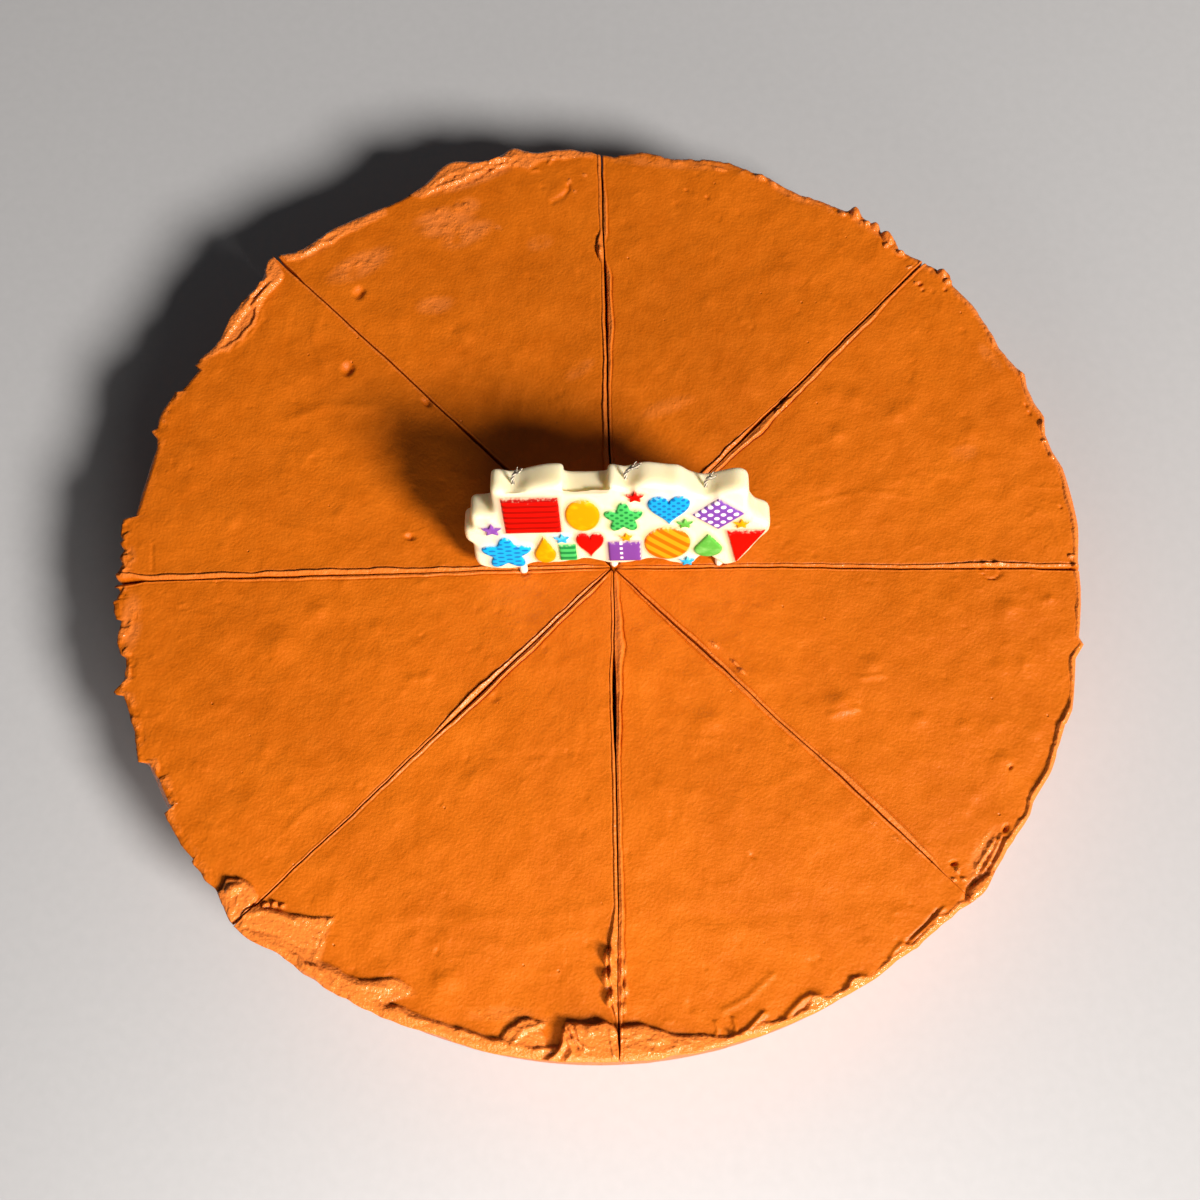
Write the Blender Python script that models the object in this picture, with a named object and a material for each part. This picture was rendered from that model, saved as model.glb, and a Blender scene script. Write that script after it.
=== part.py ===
"""A chocolate tofu tart cut into eight slices that still stand together, with a birthday candle in it.

The part frame: metres, +Z up, origin in the middle of the tart's underside, +X along the left-right
cut towards the right, +Y towards the back. Lengths below are in millimetres and angles in degrees,
counted anticlockwise from +X; they become metres where the geometry is made.
"""
import math
from collections import namedtuple
from itertools import pairwise

import bmesh
import bpy
from mathutils import Matrix, Vector, noise

MM = 0.001

# --- Driving dimensions of the tart -------------------------------------------------------------
TART_RADIUS = 130.0         # a 26 cm springform tin
TART_HEIGHT = 32.0
WALL_RADIUS = 129.2         # the tin's smooth wall, under the ragged top edge
FOOT_RADIUS = 128.4
EDGE_DEPTH = 4.5            # how far down the ragged top edge reaches
WAVE_HEIGHT = 0.35          # gentle unevenness of the set cream
WAVE_LENGTH = 38.0

# The knife's eight cuts meet a little to the right of the middle.
CUT_CENTRE = Vector((5.1, -1.3))
TIP_DISTANCE = 2.0          # the slices' points are blunt, round the middle pin

Cut = namedtuple("Cut", "angle gap mouth ridge")    # gap in the middle, at the rim; burr height
CUTS = (
    Cut(-1.6, 0.5, 0.9, 0.4),
    Cut(45.4, 0.8, 1.1, 0.5),
    Cut(91.0, 0.9, 1.2, 0.4),
    Cut(134.6, 0.6, 1.2, 0.3),
    Cut(180.3, 0.6, 2.2, 0.6),
    Cut(224.2, 0.5, 1.6, 0.4),
    Cut(270.1, 0.6, 1.0, 0.9),
    Cut(314.5, 0.5, 0.8, 0.5),
)
MOUTH_CURVE = 6             # power of the distance: the gaps open only close to the rim
RIDGE_WIDTH = 1.3           # the burr that the knife lifted along each cut
RIDGE_FOOT = 3.1            # where its slope ends
RIDGE_SHARES = (1.0, 0.7)   # share of its height on the cut's edge, and one column further in

# Where the top edge swells out (+) or is broken away (-).
Swell = namedtuple("Swell", "angle half_width out")
RIM_SWELLS = (
    Swell(15, 3.0, -1.3), Swell(24, 2.0, 1.0), Swell(41, 2.5, 2.2), Swell(54, 3.0, 1.8),
    Swell(63, 3.0, -1.4), Swell(79, 3.0, -1.8), Swell(87, 3.5, -2.4), Swell(100, 1.8, 3.0),
    Swell(108, 3.0, 3.3), Swell(117, 5.5, -2.2), Swell(134, 2.0, 3.8), Swell(149, 4.0, -1.8),
    Swell(158, 3.0, 1.8), Swell(167, 5.0, -1.8), Swell(175, 2.0, 1.5), Swell(183, 1.5, 1.2),
    Swell(191, 2.5, -1.5), Swell(194, 1.5, 2.4), Swell(206, 3.5, -1.4), Swell(227, 3.5, 2.6),
    Swell(252, 3.0, -1.0), Swell(317, 3.0, 1.7), Swell(340, 2.0, 1.4),
)

# The thin lip that the tin's wall left standing, from the lower left round to the right.
LIP_FROM, LIP_TO = 222.0, 358.0
LIP_HEIGHT = 1.3
LIP_WIDTH = 2.6
LIP_FADE = 6.0              # degrees

# Cream smeared over the top edge by the knife when the tin came off.
Smear = namedtuple("Smear", "x y half_length half_width heading thickness")
SMEARS = (
    Smear(-2.5, -125.2, 8.0, 5.0, 0, 2.6),          # the thick fold left of the front cut
    Smear(24.0, -126.0, 19.0, 3.2, -3, 1.5),        # its thin run to the right of the cut
    Smear(-17.5, -123.2, 7.0, 2.8, 12, 1.7),
    Smear(-57.0, -111.5, 12.0, 3.0, -14, 1.7),
    Smear(-77.0, -96.5, 12.0, 5.0, -18, 2.0),       # the pointed flap by the lower left cut
    Smear(-90.5, -88.0, 5.0, 4.5, -45, 1.6),
    Smear(-100.0, 78.0, 20.0, 3.6, 57, 1.3),        # the lens-shaped flap at the upper left
    Smear(-26.0, 125.5, 21.0, 3.4, 10, 1.3),        # the shiny bulge at the back
    Smear(56.0, -115.5, 4.0, 2.0, 32, 1.5),
    Smear(67.5, -110.0, 4.0, 2.0, 36, 1.4),
    Smear(101.5, -80.0, 7.0, 2.6, 52, 1.3),
)
SMEAR_END = 1.35            # in half sizes: where a smear's edge meets the cream
SMEAR_EDGE = 0.6            # in half sizes: the width of its steep edge

# --- How the slices are divided into faces ------------------------------------------------------
OUTER_ROWS = (0.0, 1.3, 2.8, 4.6, 7.6, 12.0)    # distances in from the rim
INNER_ROWS = 7                                  # evenly spaced from there to the tip
INNER_COLUMNS = 15                              # evenly spaced between the burrs
SHARP_ANGLE = 35.0                              # edges sharper than this show as edges

# --- Driving dimensions of the candle -----------------------------------------------------------
PLAQUE_THICKNESS = 7.0
PLAQUE_LEAN = 12.0          # leaning back, towards +Y
PLAQUE_FRONT = -2.4         # Y of the front face at the slab's foot
PLAQUE_CLEARANCE = 4.5      # over the tart
PLAQUE_EDGE = 0.8           # rounding of the wax slab's edges
PLAQUE_EDGE_ANGLE = 60.0    # edges sharper than this are rounded
RELIEF_HEIGHT = 1.1         # the painted motifs stand proud of the front face
RELIEF_SINK = 0.5
SOCKET_GAP = 0.3
CUTTER_OVERRUN = 6.0        # how far a cutter runs past the surface that it opens

PIN_RADIUS = 1.1
PIN_IN_TART = 14.0
PIN_IN_PLAQUE = 7.0
PIN_POINT = 3.0             # length of the pin's tapered end
PIN_TIP_RADIUS = 0.3
Pin = namedtuple("Pin", "x y")          # across the slab, and behind its front face
PINS = {"left": Pin(-18.9, 1.9), "middle": Pin(5.4, 3.3), "right": Pin(33.5, 2.9)}

WICK_RADIUS = 0.45
WICK_IN_PLAQUE = 3.5
WICK_STRAIGHT = 0.8         # how far a wick stands straight before it leans over
WICK_BEND = 1.6             # power of its lean
Wick = namedtuple("Wick", "x dip rise side")        # place, height of the dip, and the free end
WICKS = {
    "left": Wick(-18.5, 34.2, 5.6, 2.2),
    "middle": Wick(9.8, 35.2, 5.6, 3.4),
    "right": Wick(29.7, 30.8, 4.6, 1.9),
}

# The slab's wavy outline, clockwise from its lower left corner, seen from the front.
PLAQUE_OUTLINE = (
    (-29.7, 0.3), (-31.2, 3.2), (-31.1, 10.6), (-32.6, 13.4), (-32.4, 17.4), (-30.6, 19.4),
    (-29.9, 24.2), (-24.6, 26.0), (-23.7, 34.4), (-21.6, 35.0), (-18.5, 34.2), (-14.1, 35.6),
    (-10.0, 36.6), (-7.2, 36.6), (-5.6, 35.4), (-5.2, 33.2), (-0.4, 33.0), (5.0, 33.2),
    (6.2, 35.7), (9.8, 35.2), (14.6, 36.5), (19.8, 35.5), (23.2, 34.7), (26.2, 32.0),
    (29.7, 30.8), (33.5, 31.9), (37.4, 32.7), (40.2, 30.8), (40.8, 24.8), (42.6, 20.4),
    (45.7, 18.0), (46.3, 14.4), (44.0, 10.4), (41.3, 4.4), (38.0, -0.6), (34.4, -1.6),
    (32.2, 0.9), (30.2, 3.0), (28.4, 2.4), (26.8, 0.0), (23.0, -0.6), (19.8, 0.4),
    (17.6, 1.8), (14.0, 1.9), (9.8, 0.4), (4.6, 0.3), (1.4, 1.6), (-2.4, 2.8),
    (-8.6, 1.2), (-14.6, 1.6), (-19.6, -0.8), (-25.0, -1.2),
)
OUTLINE_STEPS = 2

# --- Colours (sRGB) and finishes ----------------------------------------------------------------
CHOCOLATE = "B8601F"
WAX = "F2E6C4"
WICK_THREAD = "8E8577"
PIN_PLASTIC = "F1EBDD"


def polar(angle, length=1.0):
    """A vector in the plane at an angle in degrees."""
    radians = math.radians(angle)
    return Vector((math.cos(radians), math.sin(radians))) * length


def turn_between(angle, other):
    """The signed turn from one angle to another, between -180 and 180 degrees."""
    return (other - angle + 180.0) % 360.0 - 180.0


def smooth_step(value):
    """0 below 0, 1 above 1, and an S-shaped rise between."""
    value = min(max(value, 0.0), 1.0)
    return value * value * (3.0 - 2.0 * value)


# --- The tart's surface -------------------------------------------------------------------------
def rim_radius(angle):
    """Radius of the ragged top edge about the tart's middle."""
    swells = (s.out * math.exp(-(turn_between(s.angle, angle) / s.half_width) ** 2) for s in RIM_SWELLS)
    return TART_RADIUS + sum(swells)


def ray_to_circle(angle, radius):
    """Distance from the meeting point of the cuts to a circle about the tart's middle."""
    along = CUT_CENTRE.dot(polar(angle))
    return -along + math.sqrt(along ** 2 + radius ** 2 - CUT_CENTRE.length_squared)


def ray_to_rim(angle):
    """Distance from the meeting point of the cuts to the top edge."""
    distance = ray_to_circle(angle, TART_RADIUS)
    seen_from_middle = CUT_CENTRE + polar(angle, distance)
    middle_angle = math.degrees(math.atan2(seen_from_middle.y, seen_from_middle.x))
    return distance + rim_radius(middle_angle) - TART_RADIUS


def lip_height(angle, inward):
    """The standing lip: full height at the edge, gone LIP_WIDTH further in."""
    if inward > LIP_WIDTH:
        return 0.0
    past_start = turn_between(LIP_FROM, angle) % 360.0
    before_end = turn_between(angle, LIP_TO) % 360.0
    if past_start > (LIP_TO - LIP_FROM):
        return 0.0
    fade = smooth_step(min(past_start, before_end) / LIP_FADE)
    return LIP_HEIGHT * fade * (1.0 - smooth_step(inward / LIP_WIDTH))


def smear_height(point, smear):
    """A smear's thickness at a point: an ellipse with a full body and a steep edge."""
    local = Matrix.Rotation(-math.radians(smear.heading), 2) @ (point - Vector((smear.x, smear.y)))
    reach = math.hypot(local.x / smear.half_length, local.y / smear.half_width)
    return smear.thickness * smooth_step((SMEAR_END - reach) / SMEAR_EDGE)


def top_height(point, inward):
    """Height of the top surface at a point, given its distance in from the rim."""
    angle = math.degrees(math.atan2(point.y, point.x))
    waves = WAVE_HEIGHT * noise.noise(Vector((point.x, point.y, 0.0)) / WAVE_LENGTH)
    smears = max(smear_height(point, smear) for smear in SMEARS)
    return TART_HEIGHT + waves + max(lip_height(angle, inward), smears)


# --- Materials and objects ----------------------------------------------------------------------
def linear_colour(srgb_hex):
    """An sRGB hex colour as the linear RGBA that a shader takes."""
    parts = [int(srgb_hex[i:i + 2], 16) / 255.0 for i in (0, 2, 4)]
    return [p / 12.92 if p <= 0.04045 else ((p + 0.055) / 1.055) ** 2.4 for p in parts] + [1.0]


def make_material(name, srgb_hex, roughness):
    material = bpy.data.materials.new(name)
    material.use_nodes = True
    shader = material.node_tree.nodes["Principled BSDF"]
    shader.inputs["Base Color"].default_value = linear_colour(srgb_hex)
    shader.inputs["Roughness"].default_value = roughness
    shader.inputs["Metallic"].default_value = 0.0
    material.diffuse_color = linear_colour(srgb_hex)
    return material


def add_object(name, data, material=None, parent=None):
    thing = bpy.data.objects.new(name, data)
    bpy.context.scene.collection.objects.link(thing)
    thing.parent = parent
    if material:
        data.materials.append(material)
    return thing


def finish_mesh(work, name, smooth=True):
    """Turn a work mesh in millimetres into mesh data in metres, with its faces pointing out."""
    bmesh.ops.scale(work, vec=(MM, MM, MM), verts=work.verts)
    bmesh.ops.recalc_face_normals(work, faces=work.faces)
    mesh = bpy.data.meshes.new(name)
    work.to_mesh(mesh)
    work.free()
    if smooth:
        mesh.shade_smooth()
        mesh.set_sharp_from_angle(angle=math.radians(SHARP_ANGLE))
    return mesh


def make_guide(name, data, parent=None):
    """A cutter: it shapes other objects and is no part of the tart."""
    guide = add_object(name, data, parent=parent)
    guide.hide_render = True
    guide.display_type = "WIRE"
    return guide


def apply_boolean(target, guide, operation):
    cut = target.modifiers.new(f"{operation.lower()} {guide.name}", "BOOLEAN")
    cut.operation = operation
    cut.object = guide
    cut.solver = "EXACT"


# --- Slices -------------------------------------------------------------------------------------
def column_shares(width):
    """Where the columns stand across a slice of this width: close by the burrs, then even."""
    even = [(i + 1) / (INNER_COLUMNS + 1) for i in range(INNER_COLUMNS)]
    near = min(RIDGE_WIDTH / width, even[0] / 3)
    far = min(RIDGE_FOOT / width, even[0] * 2 / 3)
    return [0.0, near, far, *even, 1.0 - far, 1.0 - near, 1.0]


def burr_profile(column, columns, first, second):
    """Height of the knife's burr in a column, from the cuts on either side."""
    shares = dict(enumerate(RIDGE_SHARES))
    return first.ridge * shares.get(column, 0.0) + second.ridge * shares.get(columns - 1 - column, 0.0)


class SliceShape:
    """The plan of one slice, between two neighbouring cuts."""

    def __init__(self, first, second):
        self.first = first
        self.second = second
        self.spread = turn_between(first.angle, second.angle)

    def angle(self, share):
        return self.first.angle + self.spread * share

    def gap_offset(self, share, distance):
        """The step away from both cut lines that leaves their gaps open."""
        opening = (distance / TART_RADIUS) ** MOUTH_CURVE
        halves = [(cut.gap + (cut.mouth - cut.gap) * opening) / 2 for cut in (self.first, self.second)]
        away_from_first = polar(self.first.angle + 90.0, halves[0])
        away_from_second = polar(self.second.angle - 90.0, halves[1])
        return away_from_first * (1.0 - share) + away_from_second * share

    def plan(self, share, distance):
        """A point in plan, at a distance from where the cuts meet."""
        return CUT_CENTRE + polar(self.angle(share), distance) + self.gap_offset(share, distance)


def row_distances(rim_distance):
    """Distances of the rows from the meeting point, from the tip out to the rim."""
    start = TIP_DISTANCE
    end = rim_distance - OUTER_ROWS[-1]
    inner = [start + (end - start) * (i / INNER_ROWS) for i in range(INNER_ROWS)]
    return inner + [rim_distance - inset for inset in reversed(OUTER_ROWS)]


def slice_mesh(name, first, second):
    """A slice: a grid over its top, walls down its outline, and a flat foot."""
    shape = SliceShape(first, second)
    work = bmesh.new()
    rows = INNER_ROWS + len(OUTER_ROWS)
    spread = math.radians(shape.spread)
    grid = []
    plans = {}
    for row in range(rows):
        middle_distance = row_distances(ray_to_rim(shape.angle(0.5)))[row]
        shares = column_shares(middle_distance * spread)
        line = []
        for column, share in enumerate(shares):
            rim_distance = ray_to_rim(shape.angle(share))
            distance = row_distances(rim_distance)[row]
            point = shape.plan(share, distance)
            burr = burr_profile(column, len(shares), first, second)
            height = top_height(point, rim_distance - distance) + burr
            vertex = work.verts.new((point.x, point.y, height))
            plans[vertex] = (share, distance, row == rows - 1)
            line.append(vertex)
        grid.append(line)
    for near, far in pairwise(grid):
        for (a, b), (d, c) in zip(pairwise(near), pairwise(far)):
            work.faces.new((a, b, c, d))

    first_side = [line[0] for line in grid[1:-1]]
    second_side = [line[-1] for line in grid[1:-1]]
    upper = [*grid[0], *second_side, *reversed(grid[-1]), *reversed(first_side)]
    outline = [plans[vertex] for vertex in upper]
    for radius, height in ((WALL_RADIUS, TART_HEIGHT - EDGE_DEPTH), (FOOT_RADIUS, 0.0)):
        lower = []
        for share, distance, on_rim in outline:
            if on_rim:
                distance = ray_to_circle(shape.angle(share), radius)
            point = shape.plan(share, distance)
            lower.append(work.verts.new((point.x, point.y, height)))
        for (a, b), (d, c) in zip(pairwise(upper + upper[:1]), pairwise(lower + lower[:1])):
            work.faces.new((a, b, c, d))
        upper = lower
    work.faces.new(upper)
    return finish_mesh(work, name)


# --- Candle -------------------------------------------------------------------------------------
def smooth_outline(points, steps):
    """Catmull-Rom curve through a closed run of points."""
    curve = []
    count = len(points)
    for i in range(count):
        p0, p1, p2, p3 = (Vector(points[(i + k - 1) % count]) for k in range(4))
        for step in range(steps):
            t = step / steps
            curve.append(0.5 * ((2 * p1) + (p2 - p0) * t + (2 * p0 - 5 * p1 + 4 * p2 - p3) * t ** 2
                                + (3 * p1 - p0 - 3 * p2 + p3) * t ** 3))
    return curve


def add_prism(work, outline, front, back):
    """A closed prism on an outline in the XZ plane, between two depths along Y."""
    sides = [[work.verts.new((p[0], depth, p[1])) for p in outline] for depth in (front, back)]
    work.faces.new(sides[0])
    work.faces.new(reversed(sides[1]))
    for (a, b), (d, c) in zip(*(pairwise(side + side[:1]) for side in sides)):
        work.faces.new((b, a, d, c))


def add_rod(work, start, end, radius, sides=12):
    """A cylinder between two points."""
    axis = Vector(end) - Vector(start)
    place = Matrix.Translation(Vector(start)) @ axis.to_track_quat("Z", "Y").to_matrix().to_4x4()
    middle = place @ Matrix.Translation((0, 0, axis.length / 2))
    bmesh.ops.create_cone(work, cap_ends=True, segments=sides, radius1=radius, radius2=radius,
                          depth=axis.length, matrix=middle)


def ring_shape(radii):
    """An outline whose radius runs through a list, evenly round a centre."""
    step = 360.0 / len(radii)
    return [tuple(polar(90.0 + i * step, radius)) for i, radius in enumerate(radii)]


# The motifs' outlines, in a square of side 1 about the middle.
DISC = ring_shape([0.5] * 16)
STAR = ring_shape([0.5, 0.24] * 5)
DIAMOND = ring_shape([0.5] * 4)
SQUARE = [(-0.5, -0.5), (0.5, -0.5), (0.5, 0.5), (-0.5, 0.5)]
PENNANT = [(-0.5, 0.5), (-0.25, -0.5), (0.5, 0.5)]


def flower():
    """Five round petals."""
    count = 30
    petals = (0.8 + 0.2 * math.cos(math.tau * 5 * i / count) for i in range(count))
    return ring_shape([petal / 2 for petal in petals])


def drop():
    """A drop with its point up."""
    round_end = [polar(angle) for angle in range(150, 391, 30)]
    return [(0.0, 0.5)] + [(p.x * 0.5, p.y * 0.32 - 0.18) for p in round_end]


def heart():
    """Two round lobes over a point."""
    points = []
    for i in range(16):
        t = math.tau * i / 16
        z = 13 * math.cos(t) - 5 * math.cos(2 * t) - 2 * math.cos(3 * t) - math.cos(4 * t)
        points.append((math.sin(t) ** 3 / 2, (z + 2.5) / 29))
    return points


FLOWER, DROP, HEART = flower(), drop(), heart()

# The motifs on the slab's front: shape, centre across and up, width and height.
Motif = namedtuple("Motif", "shape x z width height")
MOTIFS = (
    Motif(SQUARE, -14.5, 25.3, 14.5, 15.6), Motif(DISC, -1.5, 24.8, 8.8, 13.8),
    Motif(FLOWER, 8.8, 23.4, 10.3, 13.6), Motif(HEART, 20.4, 26.2, 10.7, 12.6),
    Motif(DIAMOND, 32.9, 23.9, 13.0, 13.2), Motif(FLOWER, -22.3, 8.0, 13.6, 15.0),
    Motif(DROP, -12.2, 9.4, 5.6, 12.4), Motif(SQUARE, -6.2, 8.0, 4.4, 7.2),
    Motif(HEART, -0.2, 11.2, 7.2, 11.2), Motif(SQUARE, 8.6, 7.9, 8.4, 8.8),
    Motif(DISC, 19.8, 11.1, 12.0, 14.8), Motif(DROP, 30.4, 9.8, 7.4, 10.6),
    Motif(PENNANT, 40.1, 8.9, 9.8, 14.8), Motif(STAR, -25.2, 19.2, 5.4, 5.4),
    Motif(STAR, -7.5, 14.5, 4.2, 4.2), Motif(STAR, 12.0, 32.5, 4.6, 4.6),
    Motif(STAR, 24.4, 20.2, 4.4, 4.4), Motif(STAR, 38.8, 19.5, 4.2, 4.2),
    Motif(STAR, 9.2, 14.5, 3.4, 3.4), Motif(STAR, 24.9, 2.5, 4.2, 4.2),
)


def add_plaque(material, parent):
    """The wax slab: wavy outline, soft edges, raised motifs, sockets for pins and wicks."""
    work = bmesh.new()
    add_prism(work, smooth_outline(PLAQUE_OUTLINE, OUTLINE_STEPS), 0.0, PLAQUE_THICKNESS)
    slab = finish_mesh(work, "candle_plaque", smooth=False)
    plaque = add_object("candle_plaque", slab, material, parent)
    bevel = plaque.modifiers.new("soft edges", "BEVEL")
    bevel.width = PLAQUE_EDGE * MM
    bevel.segments = 1
    bevel.limit_method = "ANGLE"
    bevel.angle_limit = math.radians(PLAQUE_EDGE_ANGLE)

    relief = bmesh.new()
    for motif in MOTIFS:
        outline = [(motif.x + x * motif.width, motif.z + z * motif.height) for x, z in motif.shape]
        add_prism(relief, outline, -RELIEF_HEIGHT, RELIEF_SINK)
    motifs = finish_mesh(relief, "motif_relief", smooth=False)
    apply_boolean(plaque, make_guide("motif_relief", motifs, parent), "UNION")

    sockets = bmesh.new()
    for pin in PINS.values():
        add_rod(sockets, (*pin, -CUTTER_OVERRUN), (*pin, PIN_IN_PLAQUE + SOCKET_GAP),
                PIN_RADIUS + SOCKET_GAP)
    for wick in WICKS.values():
        middle = (wick.x, PLAQUE_THICKNESS / 2)
        low = wick.dip - WICK_IN_PLAQUE - SOCKET_GAP
        add_rod(sockets, (*middle, low), (*middle, wick.dip + CUTTER_OVERRUN),
                WICK_RADIUS + SOCKET_GAP, sides=8)
    holes = finish_mesh(sockets, "socket_cutter", smooth=False)
    apply_boolean(plaque, make_guide("socket_cutter", holes, parent), "DIFFERENCE")


def pin_bottom():
    """Height of a pin's point in the slab's own frame."""
    return -(PLAQUE_CLEARANCE + PIN_IN_TART) / math.cos(math.radians(PLAQUE_LEAN))


def add_pin(side, pin, material, parent):
    """A pin: a rod up into the slab, with a point pressed into the tart."""
    work = bmesh.new()
    bottom = pin_bottom()
    levels = ((PIN_RADIUS, PIN_IN_PLAQUE), (PIN_RADIUS, bottom + PIN_POINT), (PIN_TIP_RADIUS, bottom))
    rings = []
    for radius, height in levels:
        circle = [polar(angle, radius) for angle in range(0, 360, 30)]
        rings.append([work.verts.new((pin.x + p.x, pin.y + p.y, height)) for p in circle])
    for high, low in pairwise(rings):
        for (a, b), (d, c) in zip(pairwise(high + high[:1]), pairwise(low + low[:1])):
            work.faces.new((a, b, c, d))
    work.faces.new(rings[0])
    work.faces.new(rings[-1])
    return add_object(f"candle_pin_{side}", finish_mesh(work, f"candle_pin_{side}"), material, parent)


def add_wick(side, wick, material, parent):
    """A short thread that stands in a dip of the slab and leans over at its free end."""
    curve = bpy.data.curves.new(f"candle_wick_{side}", "CURVE")
    curve.dimensions = "3D"
    curve.bevel_depth = WICK_RADIUS * MM
    curve.bevel_resolution = 1
    curve.use_fill_caps = True
    low = wick.dip - WICK_IN_PLAQUE
    bend = wick.dip + WICK_STRAIGHT
    path = [(0.0, low), (0.0, wick.dip), (0.0, bend)]
    for step in (0.35, 0.7, 1.0):
        path.append((wick.side * step ** WICK_BEND, bend + (wick.rise - WICK_STRAIGHT) * step))
    spline = curve.splines.new("POLY")
    spline.points.add(len(path) - 1)
    for point, (across, height) in zip(spline.points, path):
        place = Vector((wick.x + across, PLAQUE_THICKNESS / 2, height)) * MM
        point.co = (*place, 1.0)
    return add_object(f"candle_wick_{side}", curve, material, parent)


def pin_hole_cutter(parent):
    """The holes that the pins pressed into the tart."""
    work = bmesh.new()
    top = CUTTER_OVERRUN - PLAQUE_CLEARANCE
    for pin in PINS.values():
        add_rod(work, (*pin, pin_bottom() - SOCKET_GAP), (*pin, top), PIN_RADIUS + SOCKET_GAP)
    return make_guide("pin_hole_cutter", finish_mesh(work, "pin_hole_cutter"), parent)


# --- Assembly -----------------------------------------------------------------------------------
def main():
    for thing in list(bpy.data.objects):
        bpy.data.objects.remove(thing, do_unlink=True)

    chocolate = make_material("chocolate tofu cream", CHOCOLATE, 0.42)
    wax = make_material("cream white wax", WAX, 0.38)
    thread = make_material("wick thread", WICK_THREAD, 0.85)
    plastic = make_material("white pin plastic", PIN_PLASTIC, 0.35)

    candle = bpy.data.objects.new("candle", None)
    bpy.context.scene.collection.objects.link(candle)
    candle.location = Vector((0.0, PLAQUE_FRONT, TART_HEIGHT + PLAQUE_CLEARANCE)) * MM
    candle.rotation_euler = (-math.radians(PLAQUE_LEAN), 0.0, 0.0)

    add_plaque(wax, candle)
    for side, pin in PINS.items():
        add_pin(side, pin, plastic, candle)
    for side, wick in WICKS.items():
        add_wick(side, wick, thread, candle)

    holes = pin_hole_cutter(candle)
    for number, (first, second) in enumerate(pairwise(CUTS + CUTS[:1]), start=1):
        name = f"slice_{number}"
        piece = add_object(name, slice_mesh(name, first, second), chocolate)
        apply_boolean(piece, holes, "DIFFERENCE")


main()
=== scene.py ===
"""Looks of a chocolate tofu tart, cut into eight slices that stand together, with a wax candle in it.

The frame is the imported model's: metres, +Z up, origin in the middle of the tart's underside, +X along the
left-right cut towards the right, +Y towards the back. Lengths in the lists below are in millimetres and
angles in degrees, counted anticlockwise from +X. Properties with a unit are in metres, as Blender keeps them.
"""

import math
from collections import namedtuple
from itertools import pairwise

import bmesh
import bpy
import numpy as np
from bpy.props import FloatProperty, FloatVectorProperty, IntProperty, PointerProperty
from mathutils import Matrix, Vector


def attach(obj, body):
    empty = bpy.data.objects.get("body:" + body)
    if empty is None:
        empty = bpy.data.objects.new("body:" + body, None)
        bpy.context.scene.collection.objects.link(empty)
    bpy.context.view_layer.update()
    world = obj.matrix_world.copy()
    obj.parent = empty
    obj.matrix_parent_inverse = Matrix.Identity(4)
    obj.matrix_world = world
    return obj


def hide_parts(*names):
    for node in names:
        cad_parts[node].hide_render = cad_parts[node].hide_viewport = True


bl_info = {
    "name": "Chocolate tofu tart",
    "version": (1, 0, 0),
    "blender": (4, 5, 0),
    "location": "3D View > Sidebar > Tart",
    "description": "Builds a sliced chocolate tofu tart with a birthday candle, and a small studio",
    "category": "Add Mesh",
}

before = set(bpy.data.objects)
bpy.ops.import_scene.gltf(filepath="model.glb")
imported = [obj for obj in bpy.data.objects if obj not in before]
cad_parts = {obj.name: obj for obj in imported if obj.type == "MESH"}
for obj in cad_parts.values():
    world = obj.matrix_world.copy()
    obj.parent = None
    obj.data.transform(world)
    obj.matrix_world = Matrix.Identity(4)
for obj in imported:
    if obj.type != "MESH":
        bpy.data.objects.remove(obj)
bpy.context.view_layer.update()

MM = 0.001
BODY = "root"


def named(fields, *rows):
    """The rows of a table, with a name for each column."""
    row_type = namedtuple("Row", fields)
    return tuple(row_type(*values) for values in rows)


# --- The tart, as the frame has it ---------------------------------------------------------------
TART_RADIUS = 130.0
WALL_RADIUS = 129.2         # the tin's smooth wall, under the ragged top edge
FOOT_RADIUS = 128.4
FOOT_ROUNDING = 0.5
EDGE_DEPTH = 4.5            # how far down the ragged top edge reaches
CUT_CENTRE = np.array([5.1, -1.3])
TIP_DISTANCE = 1.0

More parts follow.
